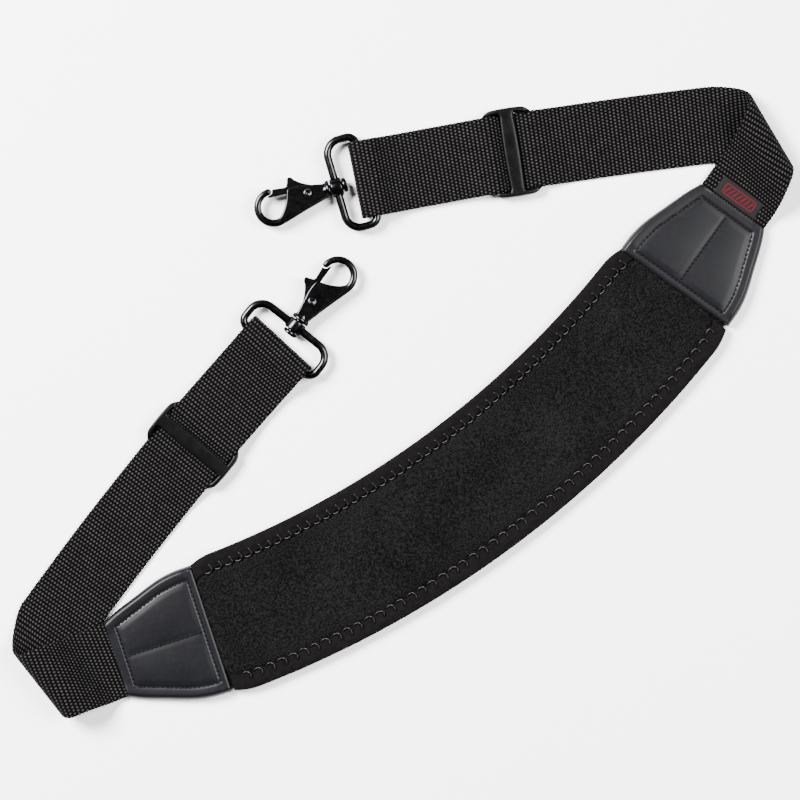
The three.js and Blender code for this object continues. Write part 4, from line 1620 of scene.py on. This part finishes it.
@dataclass(frozen=True)
class Ring:
    """A wire ring, broad behind where the webbing loops it, with a hub that holds the snap."""

    wire: float = 3.9
    width: float = 49
    length: float = 19.3
    front: float = 7.5
    rear: float = 4.2
    height: float = 4.9
    hub: float = 4.6
    hub_length: float = 5.8
    hub_edge: float = 0.8
    stud: float = 2.1
    gap: float = 0.3

    @property
    def back(self) -> float:
        """Where the hinge bar lies behind the hub."""
        return self.wire - self.length

    def line(self) -> np.ndarray:
        """The wire's middle line: a rectangle with two corner radii.

        Returns:
            The line's points.
        """
        half = (self.width - self.wire) / 2
        angle = np.linspace(0, math.pi / 2, 14)
        path = []
        for start, x, y, radius in (
            (0, 0.0, half, self.front), (1, self.back, half, self.rear),
            (2, self.back, -half, self.rear), (3, 0.0, -half, self.front),
        ):
            turn = angle + start * math.pi / 2
            inward = -radius if start in (0, 3) else radius
            path.append(join(
                x + inward + radius * np.cos(turn),
                y - math.copysign(radius, y) + radius * np.sin(turn), 0.0))
        closed = np.concatenate([*path, path[0][:1]])
        return resample(closed, 241)[:-1]

    def build(self, side: str, seat: Seat) -> None:
        """Builds the wire and the hub, a tube with rounded rims.

        Args:
            side: The arm's side.
            seat: Where it sits.
        """
        shell = Shell()
        shell.add(seat.put(sweep(self.line(), oval(24) * self.wire / 2, closed=True)), loop=True)
        half, edge = self.hub_length / 2, self.hub_edge
        turn = np.linspace(0, math.pi / 2, 6)
        rim = join(half - edge + edge * np.sin(turn), self.hub - edge + edge * np.cos(turn))
        outer = np.concatenate([(rim * [-1, 1])[::-1], rim])
        bore = self.stud + self.gap
        inner = np.array([[half, bore], [-half, bore]])
        shell.add(seat.put(lathe(np.concatenate([outer, inner]), 44)), loop=True)
        name = f"ring_{side}"
        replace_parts(shell.piece(f"{name}_wire", Finishes.METAL, name, 50), name)


@dataclass(frozen=True)
class Snap:
    """A trigger snap: a swivel stud and neck, two cheeks, a hooked bow and a sprung thumb lever."""

    length: float = 42.6
    bow: float = 19.6
    wire: float = 3.7
    aside: float = -0.7
    pivot_x: float = 14.6
    pivot_y: float = 0.9
    neck: float = 3.4
    flange: float = 4.6
    flange_length: float = 2.0
    stud: float = 2.1
    stud_end: float = 3.7
    stud_end_length: float = 2.2
    cheek: float = 6.8
    slot: float = 3.6
    lever: float = 3.0
    rivet: float = 4.7
    rivet_height: float = 0.8
    shank: float = 1.2
    gap: float = 0.3
    nose: float = 98
    spine: float = -103

    @property
    def neck_start(self) -> float:
        """Where the neck's flange begins, just clear of the hub."""
        return Ring().hub_length / 2 + self.gap

    @property
    def bow_x(self) -> float:
        """The bow's centre along the snap."""
        return self.length - self.bow / 2

    @property
    def bow_radius(self) -> float:
        """The radius of the bow's middle line."""
        return (self.bow - self.wire) / 2

    def hook(self) -> np.ndarray:
        """The bow: a nearly round wire from the neck along the spine to a rounded nose.

        The wire thins evenly along its way, and at the nose its radius follows a quarter circle.

        Returns:
            The rings, as rows by columns by 3.
        """
        turn = np.radians(np.linspace(self.spine, self.nose, 70))
        radius = self.bow_radius
        arc = join(self.bow_x + radius * np.cos(turn), self.aside + radius * np.sin(turn))
        neck_end = self.neck_start + self.flange_length
        foot = np.array([[neck_end, -self.neck + self.wire / 2]])
        middle = foot * 0.55 + arc[:1] * 0.45 + [[0, 0.15]]
        lead = spline(np.concatenate([foot, middle, arc[:3]]), 10)
        line = resample(np.concatenate([lead[:-1], arc[2:]]), 110)
        share = np.linspace(0, 1, len(line))
        radius = self.wire / 2 * (1.12 + (0.9 - 1.12) * share)
        left = (1 - share) * 55 / radius
        radius = radius * np.sqrt(np.clip(1 - np.clip(1 - left, 0, 0.995) ** 2, 0, 1))
        path = join(line[:, 0], line[:, 1], 0.0)
        return sweep(path, oval(22, 2.3)[None] * radius[:, None, None])

    def cheek_outline(self) -> np.ndarray:
        """The cheeks' outline: a wedge with a hollowed front that runs into the bow.

        Returns:
            The outline's points.
        """
        return through([
            (4.8, 3.1), (17.8, 5.9), (24.2, 5.5, 23.2, 6.3), (25.5, 1.9), (28.3, -3.4, 26.5, -0.9),
            (32.2, -7.1, 30.0, -6.0), (31.4, -9.0), (4.8, -3.0),
        ], 0.2, 0.45)

    def lever_outline(self) -> np.ndarray:
        """The lever's outline: a slim arm that closes inside the nose, and a ribbed thumb tab.

        The ribs push the tab's outline out and in by a cosine of the angle round its middle.

        Returns:
            The outline's points.
        """
        line = through([
            (33.9, 4.4), (34.4, 5.0), (33.4, 5.3), (32.2, 5.65), (31.4, 6.6), (31.2, 7.9),
            (24.6, 7.0), (23.7, 7.5), (22.9, 9.6), (20.7, 11.3, 22.4, 11.9), (18.6, 8.8),
            (12.0, 4.8, 15.6, 6.4), (13.4, -1.9, 10.6, 0.9), (19.0, -0.1, 16.6, -2.9), (24.6, 3.9),
        ], 0.1, 0.22)
        on_tab = smooth((line[:, 1] - 7.6) / 0.8) * hump(line[:, 0], 20.8, 4.8)
        angle = np.arctan2(line[:, 1] - 5.5, line[:, 0] - 21.0)
        push = 0.14 * on_tab * np.cos(angle * 14)
        return line + push[:, None] * join(np.cos(angle), np.sin(angle))

    def neck_profile(self) -> np.ndarray:
        """Places along the snap and radii: the stud's domed end, the stud, the flange, the neck.

        Returns:
            The profile, for a lathe.
        """
        start = self.neck_start
        end = start + self.flange_length
        back = -start - self.stud_end_length
        dome, flange, neck = self.stud_end, self.flange, self.neck
        return np.array([
            [back, 0.0], [back + 0.02, dome * 0.45], [back + 0.25, dome * 0.8],
            [back + 0.7, dome * 0.97], [-start - 0.5, dome], [-start - 0.12, dome * 0.93],
            [-start, dome * 0.8], [-start, self.stud], [start, self.stud],
            [start, flange * 0.85], [start + 0.15, flange * 0.95], [start + 0.5, flange],
            [end - 0.5, flange], [end - 0.1, flange * 0.93], [end, flange * 0.83],
            [end + 0.5, neck * 1.1], [end + 1.6, neck], [end + 4.0, neck * 0.9], [end + 4.6, 0.0],
        ])

    def build(self, side: str, seat: Seat) -> None:
        """Builds the snap and its rivet on the snap's body, and its lever on a body of its own.

        Args:
            side: The arm's side.
            seat: Where it sits.
        """
        body = f"snap_{side}"
        shell = Shell()
        shell.add(seat.put(self.hook()))
        shell.add(seat.put(lathe(self.neck_profile())))
        outline = self.cheek_outline()
        for sign in (-1, 1):
            low, high = sorted((sign * self.slot / 2, sign * self.cheek / 2))
            shell.add(seat.put(slab(outline, low, high, 0.8, 6)))
        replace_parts(shell.piece(f"{body}_casting", Finishes.METAL, body, 45), body)
        lever = Shell()
        lever.add(seat.put(slab(self.lever_outline(), -self.lever / 2, self.lever / 2, 0.28, 5)))
        gate = f"gate_{side}"
        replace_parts(lever.piece(f"{gate}_lever", Finishes.METAL, gate, 45), gate)
        top = self.cheek / 2 + self.gap
        head = self.rivet / 2
        places = np.array([
            [0.1, 0], [0.12, 0.28], [0.3, 0.42], [0.85, 0.5], [1, 0.6], [0.95, 0.72], [0.7, 0.88],
            [0.3, 0.98], [0.1, 1], [0, 0.97]])
        cap = join(top + self.rivet_height * places[:, 0], head * places[:, 1])
        shank = np.array([[-top, self.shank], [top, self.shank]])
        profile = np.concatenate([cap * [-1, 1], shank, cap[::-1]])
        pin = lathe(profile, 30)[..., [1, 2, 0]] + [self.pivot_x, self.pivot_y, 0]
        rivet = Shell()
        rivet.add(seat.put(pin))
        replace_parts(rivet.piece(f"rivet_{side}_heads", Finishes.RIVET, body, 50), f"rivet_{side}")


@dataclass(frozen=True)
class Studio:
    """The pale floor, the soft lights and the camera that looks straight down."""

    centre: tuple = (0.0, 0.0567)
    span: float = 0.3984
    roll: float = -36.3
    lens: float = 150.0
    sensor: float = 36.0
    even: float = 0.05
    floor_half: float = 6.0
    floor_height: float = -0.0003

    def floor(self) -> None:
        """A wide pale floor just under the strap."""
        finish = Finish("floor_paint", "", (0.93, 0.93, 0.93), 0.9, specular=0.1)
        mesh = bpy.data.meshes.new("floor")
        half, low = self.floor_half, self.floor_height
        corners = [(-half, -half, low), (half, -half, low), (half, half, low), (-half, half, low)]
        mesh.from_pydata(corners, [], [(0, 1, 2, 3)])
        mesh.materials.append(finish.material())
        made = bpy.data.objects.new("floor", mesh)
        bpy.context.scene.collection.objects.link(made)

    def light(self, name: str, place: tuple, size: float, power: float) -> None:
        """A soft square light that faces the strap.

        Args:
            name: Its name.
            place: Where it stands, in metres.
            size: Its side, in metres.
            power: Its power, in watts.
        """
        data = bpy.data.lights.new(name, "AREA")
        data.size, data.energy = size, power
        made = bpy.data.objects.new(name, data)
        made.location = place
        aim = Vector((*self.centre, 0)) - Vector(place)
        made.rotation_euler = aim.to_track_quat("-Z", "Y").to_euler()
        bpy.context.scene.collection.objects.link(made)

    def build(self) -> None:
        """Builds the floor, the lights, the even light all round and the camera."""
        self.floor()
        self.light("key", (-0.5, 1.25, 1.3), 0.75, 225)
        self.light("fill", (1.15, -0.5, 1.5), 1.1, 120)
        world = bpy.data.worlds.new("room")
        world.use_nodes = True
        world.node_tree.nodes.clear()
        bench = Bench(world.node_tree)
        inputs = {"Color": (1, 1, 1, 1), "Strength": self.even}
        sky = bench.node("ShaderNodeBackground", None, inputs)
        bench.node("ShaderNodeOutputWorld", None, {0: sky.outputs[0]})
        bpy.context.scene.world = world
        data = bpy.data.cameras.new("camera")
        data.lens, data.sensor_width = self.lens, self.sensor
        data.clip_start, data.clip_end = 0.05, 20
        camera = bpy.data.objects.new("camera", data)
        camera.location = (*self.centre, self.span * self.lens / self.sensor)
        camera.rotation_euler = (0, 0, math.radians(self.roll))
        bpy.context.scene.collection.objects.link(camera)
        bpy.context.scene.camera = camera


ARMS = (
    Arm(
        side="right", mirror=1, leave=0, fold_axis=84.3, ramp=45, drift=10.5, drift_from=0.1,
        bend=4.6, slider_at=87, ring_at=166.4, ring_turn=5, flipped=True,
    ),
    Arm(
        side="left", mirror=-1, leave=-4, fold_axis=88.2, ramp=47, drift=12.5, drift_from=0.4,
        bend=6.6, slider_at=98.4, ring_at=167, ring_turn=3.5, flipped=False,
    ),
)


def main() -> None:
    """Builds the studio and every piece of the strap, and reports each piece."""
    logging.basicConfig(level=logging.INFO, format="%(message)s")
    Studio().build()
    pad, cap = Pad(), Cap()
    pad.build(cap.turn, cap.half_mouth)
    for arm in ARMS:
        cap.build(arm.side, arm.mirror, pad)
        arm.build()
        Slider().build(arm.side, arm.seat(arm.straight + arm.slider_at, 0))
        ring = Ring()
        hinge = arm.seat(arm.straight + arm.ring_at - arm.hinge, ring.height, arm.ring_turn)
        hub = replace(hinge, ahead=-ring.back)
        ring.build(arm.side, hub)
        Snap().build(arm.side, replace(hub, flipped=arm.flipped))
    Label().build(ARMS[0])


if __name__ == "__main__":
    main()
